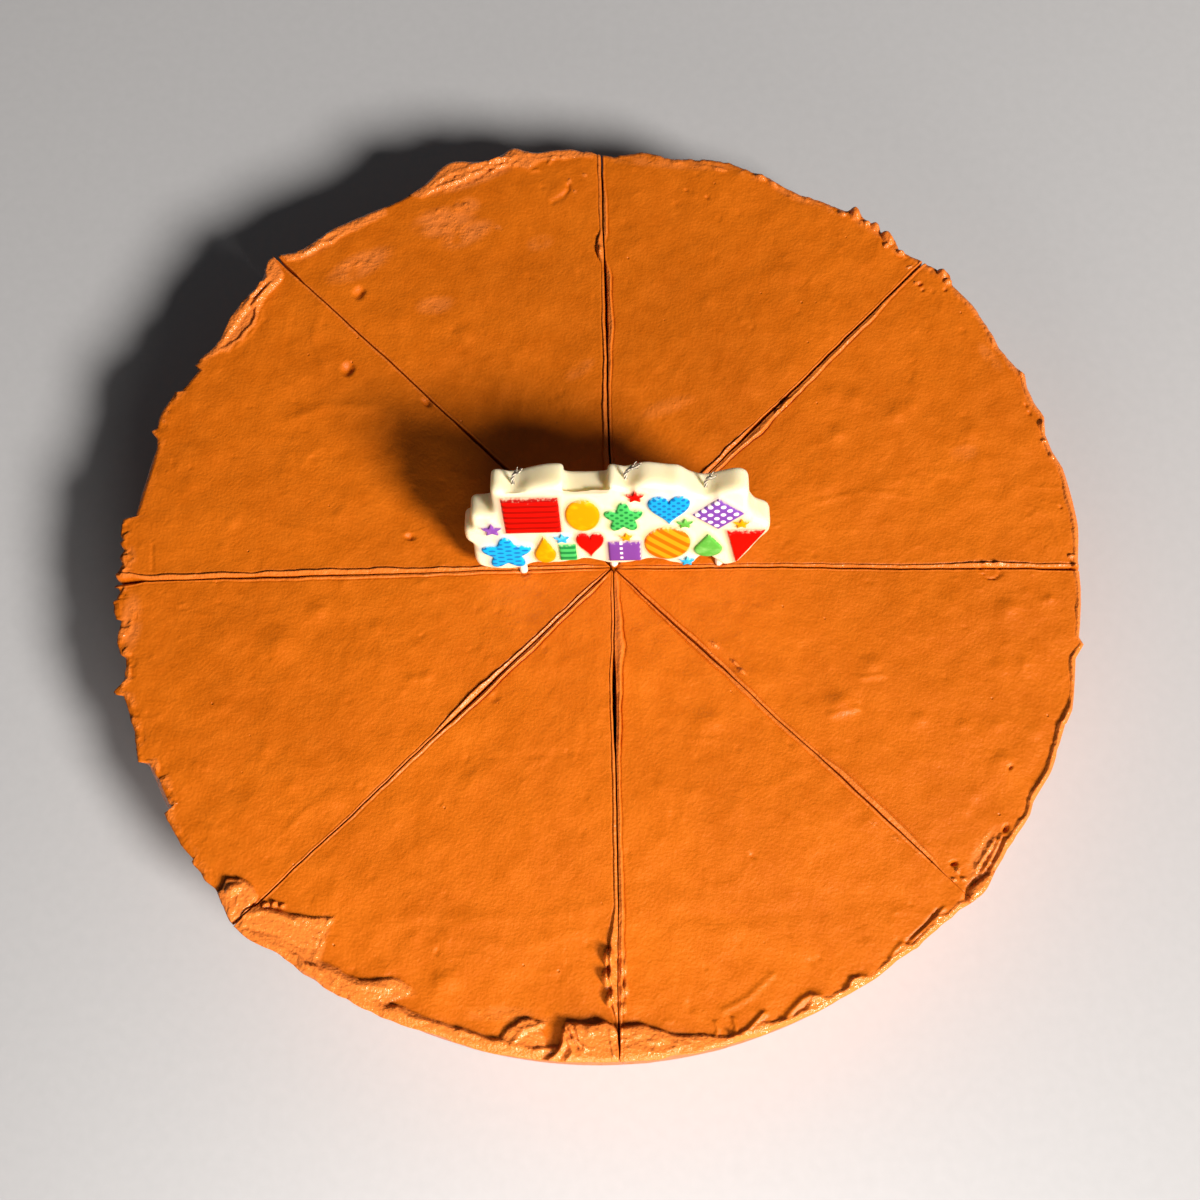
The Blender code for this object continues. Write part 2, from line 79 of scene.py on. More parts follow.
# Each of the knife's cuts: its gap at the top and deep down as (distance from where the cuts meet, width),
# and the burr that the knife raised on its clockwise and anticlockwise side as (distance, width, height).
CUTS = named("angle gap deep clockwise anticlockwise",
    (-1.6, ((0, 0.5), (40, 0.6), (108, 0.7), (120, 1.1), (126, 1.3)), ((0, 0.35), (60, 0.5)),
     ((0, 0.4, 0.08), (125, 0.4, 0.08)),
     ((0, 0.7, 0.25), (60, 0.8, 0.3), (85, 0.9, 0.4), (98, 1.5, 0.7), (112, 1.0, 0.4), (126, 0.9, 0.3))),
    (45.4, ((0, 0.4), (40, 0.4), (58, 1.3), (66, 0.9), (90, 0.8), (110, 0.65), (128, 0.9)), ((0, 0.35),),
     ((0, 1.2, 0.4), (50, 1.3, 0.5), (57, 2.3, 0.9), (62, 1.6, 0.5), (100, 1.4, 0.5), (115, 0.7, 0.3)),
     ((0, 1.2, 0.6), (35, 1.4, 0.6), (50, 1.0, 0.5), (58, 0.3, 0.1), (128, 0.5, 0.15))),
    (91.0,
     ((0, 0.5), (30, 0.7), (50, 0.6), (66, 0.7), (73, 1.3), (92, 1.1), (95, 0.4), (105, 0.5), (129, 0.8)),
     ((0, 0.35),),
     ((0, 0.5, 0.2), (50, 0.6, 0.3), (75, 1.4, 0.5), (89, 1.3, 0.6), (93, 0.4, 0.1), (100, 0.4, 0.1),
      (103, 1.1, 0.5), (112, 1.3, 0.5), (118, 0.5, 0.2)),
     ((0, 1.3, 0.5), (45, 1.5, 0.6), (62, 0.8, 0.4), (93, 0.5, 0.2), (96, 2.0, 0.9), (101, 1.8, 0.8),
      (104, 0.8, 0.3), (122, 0.9, 0.3))),
    (134.6, ((0, 0.5), (22, 0.9), (56, 1.0), (63, 0.5), (100, 0.5), (125, 0.4), (131, 1.0)),
     ((0, 0.35), (22, 0.65), (56, 0.65), (63, 0.35)), ((0, 0.5, 0.2), (60, 0.6, 0.2), (128, 0.5, 0.2)),
     ((0, 0.5, 0.2), (60, 0.5, 0.15), (105, 0.8, 0.3), (128, 0.6, 0.2))),
    (180.3, ((0, 0.4), (50, 0.4), (80, 0.7), (95, 0.9), (118, 0.5), (127, 0.7), (131, 2.6), (136, 3.6)),
     ((0, 0.35),),
     ((0, 0.8, 0.4), (35, 1.1, 0.5), (60, 1.5, 0.6), (92, 1.5, 0.6), (98, 0.9, 0.4), (104, 1.5, 0.6),
      (122, 1.6, 0.6), (134, 1.0, 0.4)),
     ((0, 0.7, 0.25), (40, 0.8, 0.3), (75, 0.9, 0.3), (100, 0.6, 0.25), (108, 0.4, 0.2))),
    (224.2,
     ((0, 0.6), (15, 0.5), (38, 0.6), (50, 1.0), (60, 0.9), (66, 0.4), (110, 0.4), (124, 0.5), (134, 0.5)),
     ((0, 0.35),),
     ((0, 0.6, 0.4), (40, 0.8, 0.5), (48, 1.5, 0.8), (58, 1.2, 0.6), (66, 0.5, 0.2), (128, 0.4, 0.1)),
     ((0, 0.9, 0.6), (45, 1.2, 0.7), (60, 0.8, 0.3), (128, 0.4, 0.15))),
    (270.1,
     ((0, 0.4), (10, 0.4), (23, 0.5), (29, 1.2), (38, 1.3), (46, 0.9), (52, 0.5), (80, 0.45), (90, 0.35),
      (96, 0.25), (118, 0.25), (121, 0.8), (126, 0.5), (129, 0.15), (134, 0.15)),
     ((0, 0.1), (24, 0.12), (31, 0.9), (39, 1.0), (47, 0.6), (54, 0.3), (88, 0.3), (95, 0.15), (118, 0.15),
      (121, 0.5), (127, 0.15)),
     ((0, 0.7, 0.3), (20, 0.5, 0.35), (60, 0.7, 0.4), (90, 0.9, 0.4), (98, 1.8, 1.0), (108, 2.2, 1.2),
      (115, 1.3, 0.7), (119, 0.5, 0.2)),
     ((0, 1.2, 0.5), (10, 2.0, 0.6), (22, 2.5, 0.75), (30, 1.7, 0.8), (38, 1.3, 0.8), (48, 1.3, 0.8),
      (54, 0.9, 0.45), (75, 0.9, 0.4), (95, 1.4, 0.7), (112, 1.4, 0.7), (118, 0.8, 0.4), (124, 0.5, 0.2))),
    (314.5,
     ((0, 0.5), (20, 0.7), (30, 0.9), (38, 0.8), (46, 0.35), (75, 0.35), (81, 0.6), (98, 0.55), (104, 0.35),
      (112, 0.35), (119, 0.12), (134, 0.12)),
     ((0, 0.2), (25, 0.35), (112, 0.35), (119, 0.12)),
     ((0, 0.6, 0.5), (25, 0.8, 0.6), (45, 1.0, 0.5), (60, 0.9, 0.4), (90, 0.7, 0.3), (110, 0.6, 0.3),
      (118, 0.4, 0)),
     ((0, 0.6, 0.5), (25, 0.9, 0.6), (45, 1.0, 0.5), (60, 0.8, 0.35), (74, 0.8, 0.35), (82, 1.3, 0.6),
      (92, 1.6, 0.8), (102, 1.6, 0.7), (112, 1.0, 0.4), (118, 0.4, 0))),
)
MOUTH_DEPTH = 0.9           # how far down a gap closes from its width at the top
DEEP_WANDER = 0.7           # how far the knife strayed sideways further down
BURR_PEAK = 0.7             # where across a burr it is highest
BURR_AT_EDGE = 0.35         # its height at the cut, as a share
CREVICE = 0.28              # the crease along the burr's far side, at a burr half a millimetre high
CREVICE_WIDTH = 0.24

# Where the top edge swells out (+) or is broken away (-).
RIM_SWELLS = named("angle half_width out",
    (-27, 2.0, 0.8), (79, 3.0, -1.8), (87, 3.5, -2.4), (100, 1.8, 3.0), (108, 3.0, 3.3), (117, 5.5, -2.2),
    (134, 2.0, 3.8), (147, 3.0, -2.4), (227, 3.5, 2.6), (252, 3.0, -1.0), (317, 3.0, 1.7),
)
# Where flakes broke off it, the torn edge from corner to corner: left of the tart, over and under the cut,
# and up its right side.
TORN_EDGES = (
    ((-111.4, 61.7), (-116.1, 54.9), (-118.2, 54.7), (-122.3, 46.5), (-122.6, 43.5), (-124.1, 42.4),
     (-122.3, 40.3), (-121.9, 37.5), (-123.9, 28.0), (-126.4, 16.6), (-129.8, 15.6), (-130.2, 10.7),
     (-129.5, 9.0), (-130.5, 8.7), (-128.8, 6.3), (-129.8, 3.7), (-128.9, 2.1), (-130.6, -2.2)),
    ((-128.6, -5.6), (-130.6, -6.2), (-129.5, -11.7), (-128.0, -12.3), (-128.5, -18.5), (-127.1, -22.4),
     (-125.8, -23.0), (-125.3, -29.3), (-128.3, -32.8), (-127.4, -33.8), (-125.6, -33.9), (-122.3, -42.1),
     (-119.8, -52.5), (-117.0, -52.5), (-114.1, -57.0), (-110.1, -64.7), (-112.0, -66.2), (-107.1, -74.4),
     (-103.4, -78.4)),
    ((121.1, -47.1), (123.1, -43.3), (125.3, -29.3), (127.8, -25.5), (126.7, -23.5), (128.5, -9.7),
     (128.5, -3.0), (129.5, 7.1), (127.2, 24.2), (124.7, 29.5), (123.3, 34.5), (123.5, 39.4), (121.0, 44.5),
     (119.7, 48.8), (119.4, 52.8), (117.3, 54.8), (113.2, 61.0), (107.6, 73.7), (101.7, 81.5),
     (101.2, 84.7), (99.9, 86.4), (98.5, 86.1), (91.0, 91.1), (87.7, 92.9), (86.8, 96.9), (85.2, 98.9),
     (83.0, 99.2), (82.0, 102.1), (79.8, 102.2), (77.9, 103.7), (77.0, 107.5), (75.5, 107.4), (73.6, 106.4),
     (60.3, 112.3), (55.8, 114.9), (49.6, 119.7), (46.8, 120.2), (39.9, 123.9), (31.8, 125.4)),
)
TORN_TEETH = 0.25           # the fine teeth between those corners
TEETH_CAP = 0.6             # how far a tooth stands out, where it is cut in by up to 1
# The torn edge besides: an angle, and how deep its broad facets and its fine teeth are there.
RAGGED = (
    (0, 0.4, 0.1), (20, 0.6, 0.2), (40, 0.8, 0.5), (52, 0.9, 0.9), (58, 0.8, 0.6), (70, 0.7, 0.5),
    (90, 0.6, 0.3), (97, 0.3, 0.1), (130, 0.2, 0.1), (148, 0.3, 0.15), (156, 0.6, 0.5), (160, 1.0, 0.9),
    (163, 1.0, 0.1), (172, 1.0, 0.1), (174, 1.0, 0.9), (200, 1.0, 0.9), (215, 0.9, 0.5), (224, 0.4, 0.3),
    (250, 0.25, 0.2), (300, 0.3, 0.2), (330, 0.45, 0.15), (360, 0.4, 0.1),
)
TORN_WIDTH = 3.6            # the crumbly band along the torn edge
TORN_FADE = 2.4
TORN_HEIGHT = 0.6
EDGE_DROP = 0.45            # how far the top rounds off over its last millimetre

# The thin lip that the tin's wall left standing, from the lower left round to the right, and the places
# where it curls inwards.
LIP_FROM, LIP_TO = 224.0, 402.0
LIP_FADE = 8.0
LIP_FACETS = 0.25           # how far its width and height break into facets, as a share
LIP_OUTER = 0.35            # its height at the very rim, as a share
LIP_DROP = 0.6              # the width of its steep inner side
# The lip by (angle, width, height).
LIP = (
    (224, 3.0, 1.2), (250, 3.2, 1.4), (258, 3.6, 1.4), (268, 3.0, 1.4), (280, 2.4, 1.1), (290, 1.8, 0.8),
    (300, 1.5, 0.45), (308, 1.6, 0.4), (313, 1.8, 0.6), (318, 2.0, 0.3), (323, 1.6, 0.6), (328, 1.7, 0.95),
    (336, 1.5, 1.0), (344, 1.4, 0.8), (350, 1.3, 0.6), (362, 1.5, 0.6), (368, 1.7, 0.6), (376, 1.3, 0.5),
    (390, 1.6, 0.5), (402, 1.2, 0.4),
)
LIP_CURLS = named("angle half_width out",
    (288.4, 0.9, 1.4), (294.8, 1.0, 2.4), (299.8, 0.7, 1.6), (306.4, 0.6, 1.0), (311.6, 0.8, 0.8),
)

# Cream that the knife smeared over the top edge when the tin came off: outlines whose points also say
# how thick it lies there (or, below zero, how deep a pocket is folded into it).
SMEARS = (
    ((-8.4, -121.9, 3.2), (-7.5, -120.4, 3.2), (-4.1, -120.8, 3.0), (-1.6, -121.0, 3.0), (2.1, -120.4, 3.0),
     (3.9, -121.1, 3.0), (5.0, -122.8, 2.8), (5.5, -126.1, 2.4), (5.6, -134, 1.4), (-14, -134, 0.8),
     (-13.6, -128.6, 1.0), (-10.9, -127.9, 1.8), (-9.2, -126.6, 2.4), (-8.4, -123.5, 3.0)),
    ((5.6, -121.8, 2.2), (8.9, -121.3, 2.0), (12.1, -121.1, 1.8), (15.2, -122.3, 1.6), (18.3, -123.5, 1.4),
     (24.5, -123.8, 1.1), (30.8, -124.2, 1.0), (33.9, -124.6, 0.9), (36, -132, 0.8), (5.6, -134, 1.0)),
    ((-24.5, -124.2, 0.9), (-21.7, -121.5, 1.4), (-18.5, -119.7, 1.7), (-16.2, -119.3, 1.7),
     (-12.6, -120.5, 1.0), (-13.8, -121.5, 0.7), (-12.4, -126.4, 0.6), (-14.5, -128.5, 0.6),
     (-20, -134, 0.8), (-30, -134, 0.6)),
    ((-95.2, -86.3, 1.7), (-94.2, -83.8, 2.0), (-90.5, -83.5, 1.8), (-87.5, -85.6, 1.5),
     (-86.5, -88.4, 1.3), (-87.4, -90.6, 1.3), (-90.5, -93.5, 1.2), (-97, -97, 1.0), (-104, -92, 1.0),
     (-97.5, -88, 1.2)),
    ((-91, -94.5, 1.5), (-88.8, -91.6, 1.8), (-86.0, -90.4, 1.8), (-81.0, -92.1, 1.6), (-74.4, -93.4, 1.5),
     (-66.4, -93.9, 1.1), (-68.5, -97.1, 0.5), (-70.0, -99.5, 0.4), (-70.3, -101.5, 0.4),
     (-69.0, -104.6, 0.5), (-75, -114, 0.8), (-98, -100, 1.0)),
    ((-69.5, -104.2, 0.6), (-64.0, -107.1, 1.3), (-59.1, -109.5, 1.5), (-54.3, -109.5, 1.5),
     (-50.3, -109.0, 1.2), (-46.2, -111.2, 0.6), (-47.2, -113.2, 0.4), (-52.5, -115.4, 0.5),
     (-58, -122, 0.7), (-80, -110, 0.9)),
    ((-53, -115, 0.5), (-47.7, -116.2, 1.1), (-42.9, -118.6, 1.2), (-40.5, -119.2, 1.1),
     (-37.3, -121.4, 1.1), (-31.7, -122.6, 1.1), (-27.0, -123.8, 1.0), (-23.8, -123.4, 0.7),
     (-24, -134, 0.8), (-56, -124, 0.8)),
    ((-50.1, 114.8, 0.4), (-46.2, 117.2, 0.7), (-41.8, 118.4, 0.8), (-38.8, 119.5, 0.8),
     (-35.9, 121.6, 0.8), (-32.4, 122.9, 0.9), (-30.7, 124.6, 0.9), (-27.5, 124.2, 0.9),
     (-24.0, 125.2, 0.9), (-21.5, 124.5, 0.7), (-18.5, 123.3, 0.6), (-15.0, 126.0, 0.4), (2.6, 127.4, 0.3),
     (3, 136, 0.3), (-20, 137, 0.7), (-50, 130, 0.6), (-56, 118, 0.3)),
    ((-91.8, 96.2, 1.2), (-89.3, 91.6, 1.0), (-89.7, 89.5, 1.0), (-91.3, 87.3, 1.1), (-93.1, 85.2, 1.2),
     (-94.9, 82.5, 1.2), (-95.4, 80.4, 0.9), (-95.7, 77.7, 0.7), (-97.0, 74.7, 0.6), (-99.2, 71.4, 0.6),
     (-102.2, 68.8, 0.5), (-103.9, 66.7, 0.4), (-106.1, 66.5, 0.4), (-110.0, 64.5, 0.3), (-116, 64, 0.5),
     (-110, 82, 1.0), (-100, 96, 1.2), (-94, 100, 1.2)),
    ((-98.5, 80.4, -0.9), (-96.6, 80.2, -1.3), (-96.9, 77.4, -1.5), (-98.4, 74.5, -1.5),
     (-100.5, 71.8, -1.3), (-103.3, 69.5, -0.9), (-106.4, 67.3, -0.5), (-104.9, 70.4, -0.5),
     (-101.8, 75.1, -0.7)),
    ((-88.3, 95.5, 0.6), (-84, 96.6, 0.7), (-75, 101.8, 0.6), (-66, 106.6, 0.4), (-60, 109.8, 0.3),
     (-60, 118, 0.4), (-80, 112, 0.6), (-92, 99, 0.6)),
    ((92.6, -91.2, 1.0), (93.7, -88.6, 1.3), (96.0, -86.6, 1.4), (98.2, -85.2, 1.2), (103, -84, 1.0),
     (103, -94, 0.8), (94, -97, 0.8)),
)
SMEAR_EDGE = 0.45           # the width of a smear's steep edge
SMEAR_ROUNDING = 0.25       # how much lower it lies there than further in
SMEAR_CROWN = 2.0           # how far in its top is rounded
SMEAR_GROOVE = 0.35         # how deep the crevice is in front of that edge
GROOVE_AWAY = 0.45          # how far in front of the edge its bottom lies
GROOVE_WIDTH = 0.35
SMEAR_WOBBLE = 0.35         # how far a smear's outline wanders between its points

# Creases and folds: lines of points with a half-width and a height, raised (+) or pressed in (-).
CREASES = named("half_width height points",
    (0.3, 0.6, ((-6.9, -120.8), (-6.3, -122.4), (-5.3, -124.8), (-3.1, -126.4))),
    (0.35, 0.7, ((-7.9, -122.9), (-6.6, -125.4), (-5.9, -127.6), (-7.5, -129.6))),
    (0.25, -0.7, ((-7.2, -121.9), (-6.0, -124.4), (-4.6, -126.6))),
    (0.3, 0.5, ((-5.0, -121.4), (-4.1, -124.8), (-2.9, -126.4))),
    (0.25, -0.5, ((-5.6, -121.6), (-4.7, -124.6), (-3.4, -126.6))),
    (0.4, 0.7, ((-8.2, -123.2), (-8.1, -125.2), (-9.4, -127.6), (-12.4, -130))),
    (0.3, -0.5, ((-7.6, -124.6), (-7.4, -126.6), (-9.0, -129.2))),
    (0.3, 0.5, ((3.2, -122.8), (3.6, -126.0), (4.3, -129.0))),
    (0.6, 0.5, ((-21, -125.5), (-18, -122.2), (-13.8, -120.9))),
    (0.7, 0.5, ((-89, -93.2), (-84, -92.2), (-76, -94.6))),
    (0.5, -0.4, ((-88.5, -96), (-80, -98.4), (-74, -101.5))),
    (0.5, 0.5, ((-86, -100), (-77, -105), (-66, -111))),
    (0.5, -0.35, ((-84, -101.5), (-74, -107.5), (-62, -113.5))),
    (0.6, 0.4, ((-68, -106.5), (-60, -110.8), (-52, -111.6))),
    (0.4, 0.5, ((29.0, -120.6), (29.6, -122.4), (28.9, -124.0))),
    (0.45, 0.7, ((33.4, -119.9), (34.0, -122), (33.7, -124.2))),
    (0.6, 1.0, ((40.9, -118.7), (38.9, -120.7), (37.0, -122.6), (33.9, -124.2))),
    (0.8, 0.9, ((54.5, -114.8), (52.8, -114.4), (50.5, -115.6), (47.5, -118.5), (46.0, -120.5))),
    (0.6, 0.8, ((66.2, -110.4), (65.1, -110.1), (62.6, -111.2), (61.6, -113.2))),
    (0.5, 0.5, ((75.8, -102.3), (73.7, -104.0), (72.5, -106))),
    (0.4, 0.5, ((86.6, -93.6), (82.8, -97.4), (78.0, -101.4))),
    (0.35, -0.5, ((85.0, -93.9), (81.6, -97.6), (76.6, -102.0))),
    (0.6, -0.8, ((92.0, -91.6), (93.0, -88.9), (95.2, -86.6))),
    (0.35, 0.7, ((96.6, -85.0), (99.6, -80.8), (102.2, -75.6))),
    (0.35, 0.6, ((95.2, -84.0), (97.8, -80.4), (100.6, -76.6))),
    (0.35, 0.6, ((98.8, -84.8), (101.4, -81.0), (103.4, -76.8))),
    (0.5, 0.5, ((-94.3, 92.5), (-93.2, 89.8), (-94.4, 88.2), (-96.2, 88.0), (-96.1, 85.8), (-98.0, 84.2))),
    (0.5, 0.6, ((-92.3, 87.6), (-93.2, 86.3), (-95.5, 83.3), (-97.3, 81.0))),
    (0.4, -0.6, ((-94.0, 87.0), (-95.6, 85.0), (-97.4, 83.4))), (0.4, 0.5, ((-98.1, 82.9), (-99.9, 80.5))),
    (0.4, 0.25, ((-94.9, 80.2), (-95.2, 77.5), (-96.5, 74.4), (-98.8, 71.0), (-101.8, 68.4))),
    (0.6, 0.35,
     ((-46.7, 118.6), (-41.4, 122.7), (-36.9, 123.9), (-31.5, 126.3), (-25.5, 127.0), (-18.6, 128.1))),
    (0.5, -0.25, ((-45.5, 119.0), (-41.0, 121.3), (-36.0, 122.8), (-31.0, 125.2), (-25.0, 126.0))),
    (0.5, 0.25, ((-43.3, 118.9), (-36.8, 121.2), (-32.4, 123.4))),
    (0.6, 0.4, ((-20.5, 124.0), (-17.3, 122.9), (-15.8, 123.2))),
    (0.5, 0.5, ((-12.6, 125.2), (-11.2, 127.0))), (1.4, 0.14, ((-47, -93.7), (-18, -94.9), (1, -91.6))),
    (1.6, 0.12, ((-21.7, -102.5), (-4, -98.3))), (1.4, 0.12, ((-36.8, -99.1), (-24.2, -101.2))),
    (0.5, -0.10, ((-27.4, -53.0), (2.0, -52.2))), (2.0, -0.20, ((22, -94.5), (32.1, -95.8), (54.6, -93.7))),
    (1.8, -0.14, ((8.5, -86.7), (26.1, -88.3))), (0.8, 0.28, ((31, -118), (37, -115), (43.3, -109.5))),
    (1.6, 0.22, ((-84.9, 44.8), (-75.2, 49.2), (-62.4, 48.2))),
    (0.8, 0.15, ((-81, 31), (-79, 34), (-75.5, 36.5))),
    (0.6, -0.6, ((-11.6, 112.3), (-8.6, 113.8), (-6.8, 116.2), (-6.8, 117.6))),
    (0.5, -0.20, ((-121.0, 8.3), (-120.4, 1.0))), (1.2, 0.12, ((8, 33), (17, 45), (27, 48))),
    (1.0, 0.14, ((60, 16), (74, 19), (86, 17))), (1.2, 0.12, ((12, -20), (22, -16))),
    (1.2, 0.12, ((45, -62), (62, -54))), (0.9, 0.16, ((24, -49), (31, -49.5))),
    (0.9, 0.35, ((61, -43.6), (68, -41.8))), (0.8, 0.25, ((70, -33.8), (75.5, -33))),
    (0.3, -0.6, ((102.6, -3.6), (103.0, -5.4), (104.4, -6.9), (106.2, -7.1), (107.6, -5.9), (107.9, -4.4))),
)

# Low mounds where an air pocket lifts the skin: place, radius, height.
MOUNDS = named("x y radius height",
    (-36.2, 70.2, 2.0, 0.40), (-79.1, 70.9, 1.8, 0.30), (-106.7, 34.2, 4.2, 0.40),
    (-111.8, 26.2, 2.2, 0.25), (-99.3, 14.5, 1.8, 0.25), (-69.5, 16.1, 2.2, 0.30), (-54.8, 75.2, 2.5, 0.20),
    (-75.8, 61.6, 1.5, 0.25), (56.9, 85.9, 3.0, 0.30), (32.5, 78.1, 2.2, 0.25), (70.0, 93.5, 2.0, 0.15),
    (71.6, 46.2, 2.6, 0.40), (66.2, 48.2, 2.0, 0.25), (83.1, 41.6, 2.8, 0.50), (87.4, 44.5, 2.0, 0.30),
    (67.0, 36.4, 2.0, 0.40), (103.1, 35.6, 2.3, 0.35), (105.1, 27.2, 2.0, 0.25), (63.4, 20.4, 3.0, 0.30),
    (80.5, 22.0, 3.0, 0.35), (102.1, -0.3, 2.0, 0.25), (-83.5, -21.5, 4.2, 0.80), (-74.5, -12.1, 2.4, 0.40),
    (-58.2, -16.7, 1.8, 0.35), (-98.6, -38.1, 2.0, 0.30), (-86.5, -49.7, 1.8, 0.35),
    (-78.6, -59.4, 2.0, 0.40), (-68.2, -62.8, 2.5, 0.25), (-90.7, -67.1, 4.5, 0.40),
    (-48.3, -31.2, 1.2, 0.30), (-44.4, -30.7, 1.4, 0.35), (-67.3, -3.5, 1.8, 0.30),
    (-45.6, -4.3, 2.0, 0.25), (-9.8, 116.6, 2.4, 0.45), (-31.9, -59.5, 3.0, 0.30),
    (-66.4, -86.1, 2.5, 0.25), (-45.6, -98.9, 1.6, 0.30), (-37.8, -109.6, 2.4, 0.45),
    (-53.7, -107.0, 2.0, 0.30), (27.8, -44.7, 3.4, 0.50), (31.0, -44.2, 2.4, 0.30),
    (63.7, -40.3, 3.0, 1.00), (72.5, -30.5, 2.8, 0.60), (108.8, -15.3, 2.6, 0.55),
    (105.6, -31.5, 2.4, 0.45), (112.0, -31.0, 2.2, 0.35), (84.0, -45.0, 1.8, 0.40),
    (95.3, -46.9, 1.6, 0.35), (103.5, -47.0, 1.6, 0.30), (113.0, -49.1, 1.8, 0.30),
    (104.0, -56.3, 2.2, 0.45), (96.4, -65.2, 1.8, 0.30), (94.1, -69.1, 1.6, 0.25), (94.0, -13.3, 3.0, 0.25),
    (120.0, -13.0, 1.2, 0.40), (36.6, -12.8, 2.0, 0.20), (16.5, -61.7, 1.6, 0.25), (24.7, -63.4, 1.6, 0.25),
    (35.5, -68.0, 2.0, 0.25), (69.6, -70.9, 2.0, 0.30),
)

# Burst bubbles and pits: an ellipse with a crisp rim, a round floor and a depth.
CRATERS = named("x y half_length half_width heading depth",
    (-69.3, 60.3, 2.6, 2.0, 70, 1.5), (-67.1, 84.5, 2.4, 1.8, 60, 1.2), (-50.0, 8.8, 1.4, 1.2, 0, 0.9),
    (-46.6, 49.2, 1.8, 1.3, 135, 1.1), (105.2, -5.0, 2.6, 2.4, 0, 0.2), (34.2, -27.2, 6.2, 1.9, -45, 0.8),
    (89.8, -82.4, 1.2, 0.8, 10, 1.5), (39.4, -79.9, 0.9, 0.7, 0, 0.6), (-40.0, -102.5, 0.9, 0.7, 0, 0.6),
    (-26.3, -36.8, 1.6, 1.4, 0, 0.4), (33.5, 112.3, 0.8, 0.7, 0, 0.5), (27.5, 114.9, 0.7, 0.6, 0, 0.4),
    (92.6, 82.0, 1.0, 0.7, 0, 0.9), (93.3, 80.0, 0.6, 0.5, 0, 0.6), (99.6, 79.9, 0.7, 0.6, 0, 0.7),
    (118.8, 43.3, 0.8, 0.6, -60, 0.6), (119.6, 40.9, 0.7, 0.6, 0, 0.6), (125.4, 12.9, 0.6, 0.5, 0, 0.5),
    (105.8, -58.2, 0.9, 0.6, 60, 0.8), (103.4, -73.8, 1.3, 0.8, 60, 1.4),
)

# Crumbs and blobs of cream that lie on the top: an ellipse with a rounded height.
BLOBS = named("x y half_length half_width heading height",
    (31.5, -23.6, 1.0, 0.6, -40, 0.9), (36.8, -28.6, 1.2, 0.5, -45, 0.9), (38.6, -31.0, 1.0, 0.6, -45, 0.8),
    (3.0, -104.6, 2.1, 1.4, 80, 3.0), (2.5, -109.8, 2.0, 1.3, 100, 2.8), (3.2, -114.8, 1.8, 1.0, 70, 2.2),
    (6.6, -107.0, 1.9, 0.8, 95, 1.2), (6.9, -112.4, 1.6, 0.8, 80, 1.2), (6.4, -117.0, 1.3, 0.8, 90, 1.1),
    (53.4, 45.8, 1.6, 0.7, 45, 0.8), (51.2, 43.2, 1.0, 0.6, 45, 0.6), (2.6, 96.0, 1.0, 0.7, 90, 0.9),
    (90.6, -84.3, 0.7, 0.5, 90, 0.8), (89.6, -86.5, 0.7, 0.5, 0, 0.7), (92.1, -86.5, 0.7, 0.5, 0, 0.8),
    (-83.9, -90.4, 1.0, 0.7, 20, 1.5), (-81.7, -90.2, 0.9, 0.7, 60, 1.6), (-79.6, -90.7, 0.8, 0.6, 30, 1.3),
    (-92.0, -86.5, 2.2, 1.4, 20, 1.4), (104.0, -3.3, 1.2, 0.6, 20, 0.7), (107.6, -3.0, 0.9, 0.7, 0, 0.8),
    (75.8, 105.4, 2.0, 1.3, 100, 2.0), (81.4, 101.0, 1.6, 1.2, -50, 1.6), (84.6, 97.2, 2.4, 1.5, -62, 1.9),
    (84.0, 94.6, 0.9, 0.8, 0, 1.0), (88.0, 92.2, 1.2, 0.8, -30, 1.1), (99.2, 85.2, 1.8, 1.1, -60, 1.7),
    (100.6, 82.6, 1.2, 0.9, 0, 1.2), (79.0, 102.0, 1.0, 0.7, 0, 1.0), (72.0, 105.5, 1.4, 0.8, -35, 0.9),
    (49.4, 118.2, 1.6, 1.0, -20, 1.0), (52.6, 116.2, 1.2, 0.8, -30, 0.8), (37.4, 121.4, 2.2, 0.7, -15, 0.7),
    (118.3, 52.6, 1.0, 0.7, -60, 0.9), (122.4, 37.6, 1.0, 0.8, -70, 0.8), (91.5, 82.3, 0.7, 0.4, 20, 0.5),
    (90.1, 87.5, 1.2, 0.4, 20, 0.4), (122.4, 36.5, 1.0, 0.6, -70, 0.7), (122.7, 32.4, 0.8, 0.6, 0, 0.7),
    (124.2, 28.0, 0.8, 0.5, -70, 0.6), (70.2, -72.2, 0.6, 0.4, 0, 0.45), (75.5, -75.8, 0.6, 0.5, 0, 0.5),
    (81.0, -80.0, 0.5, 0.4, 0, 0.4), (-6.4, 119.1, 0.5, 0.8, 0, 0.45), (-4.9, 115.6, 0.5, 0.5, 0, 0.4),
    (-2.0, 120.9, 0.7, 0.5, 0, 0.5), (-8.4, 126.9, 0.8, 0.4, 0, 0.5), (127.3, -4.2, 1.0, 0.6, 60, 0.9),
    (126.8, -1.2, 1.0, 0.6, 0, 0.8), (-36.2, 112.0, 1.5, 0.9, -30, 0.4), (-35.3, 103.8, 1.0, 0.5, 50, 0.4),
    (-27.2, 104.3, 1.0, 0.7, 0, 0.3),
)

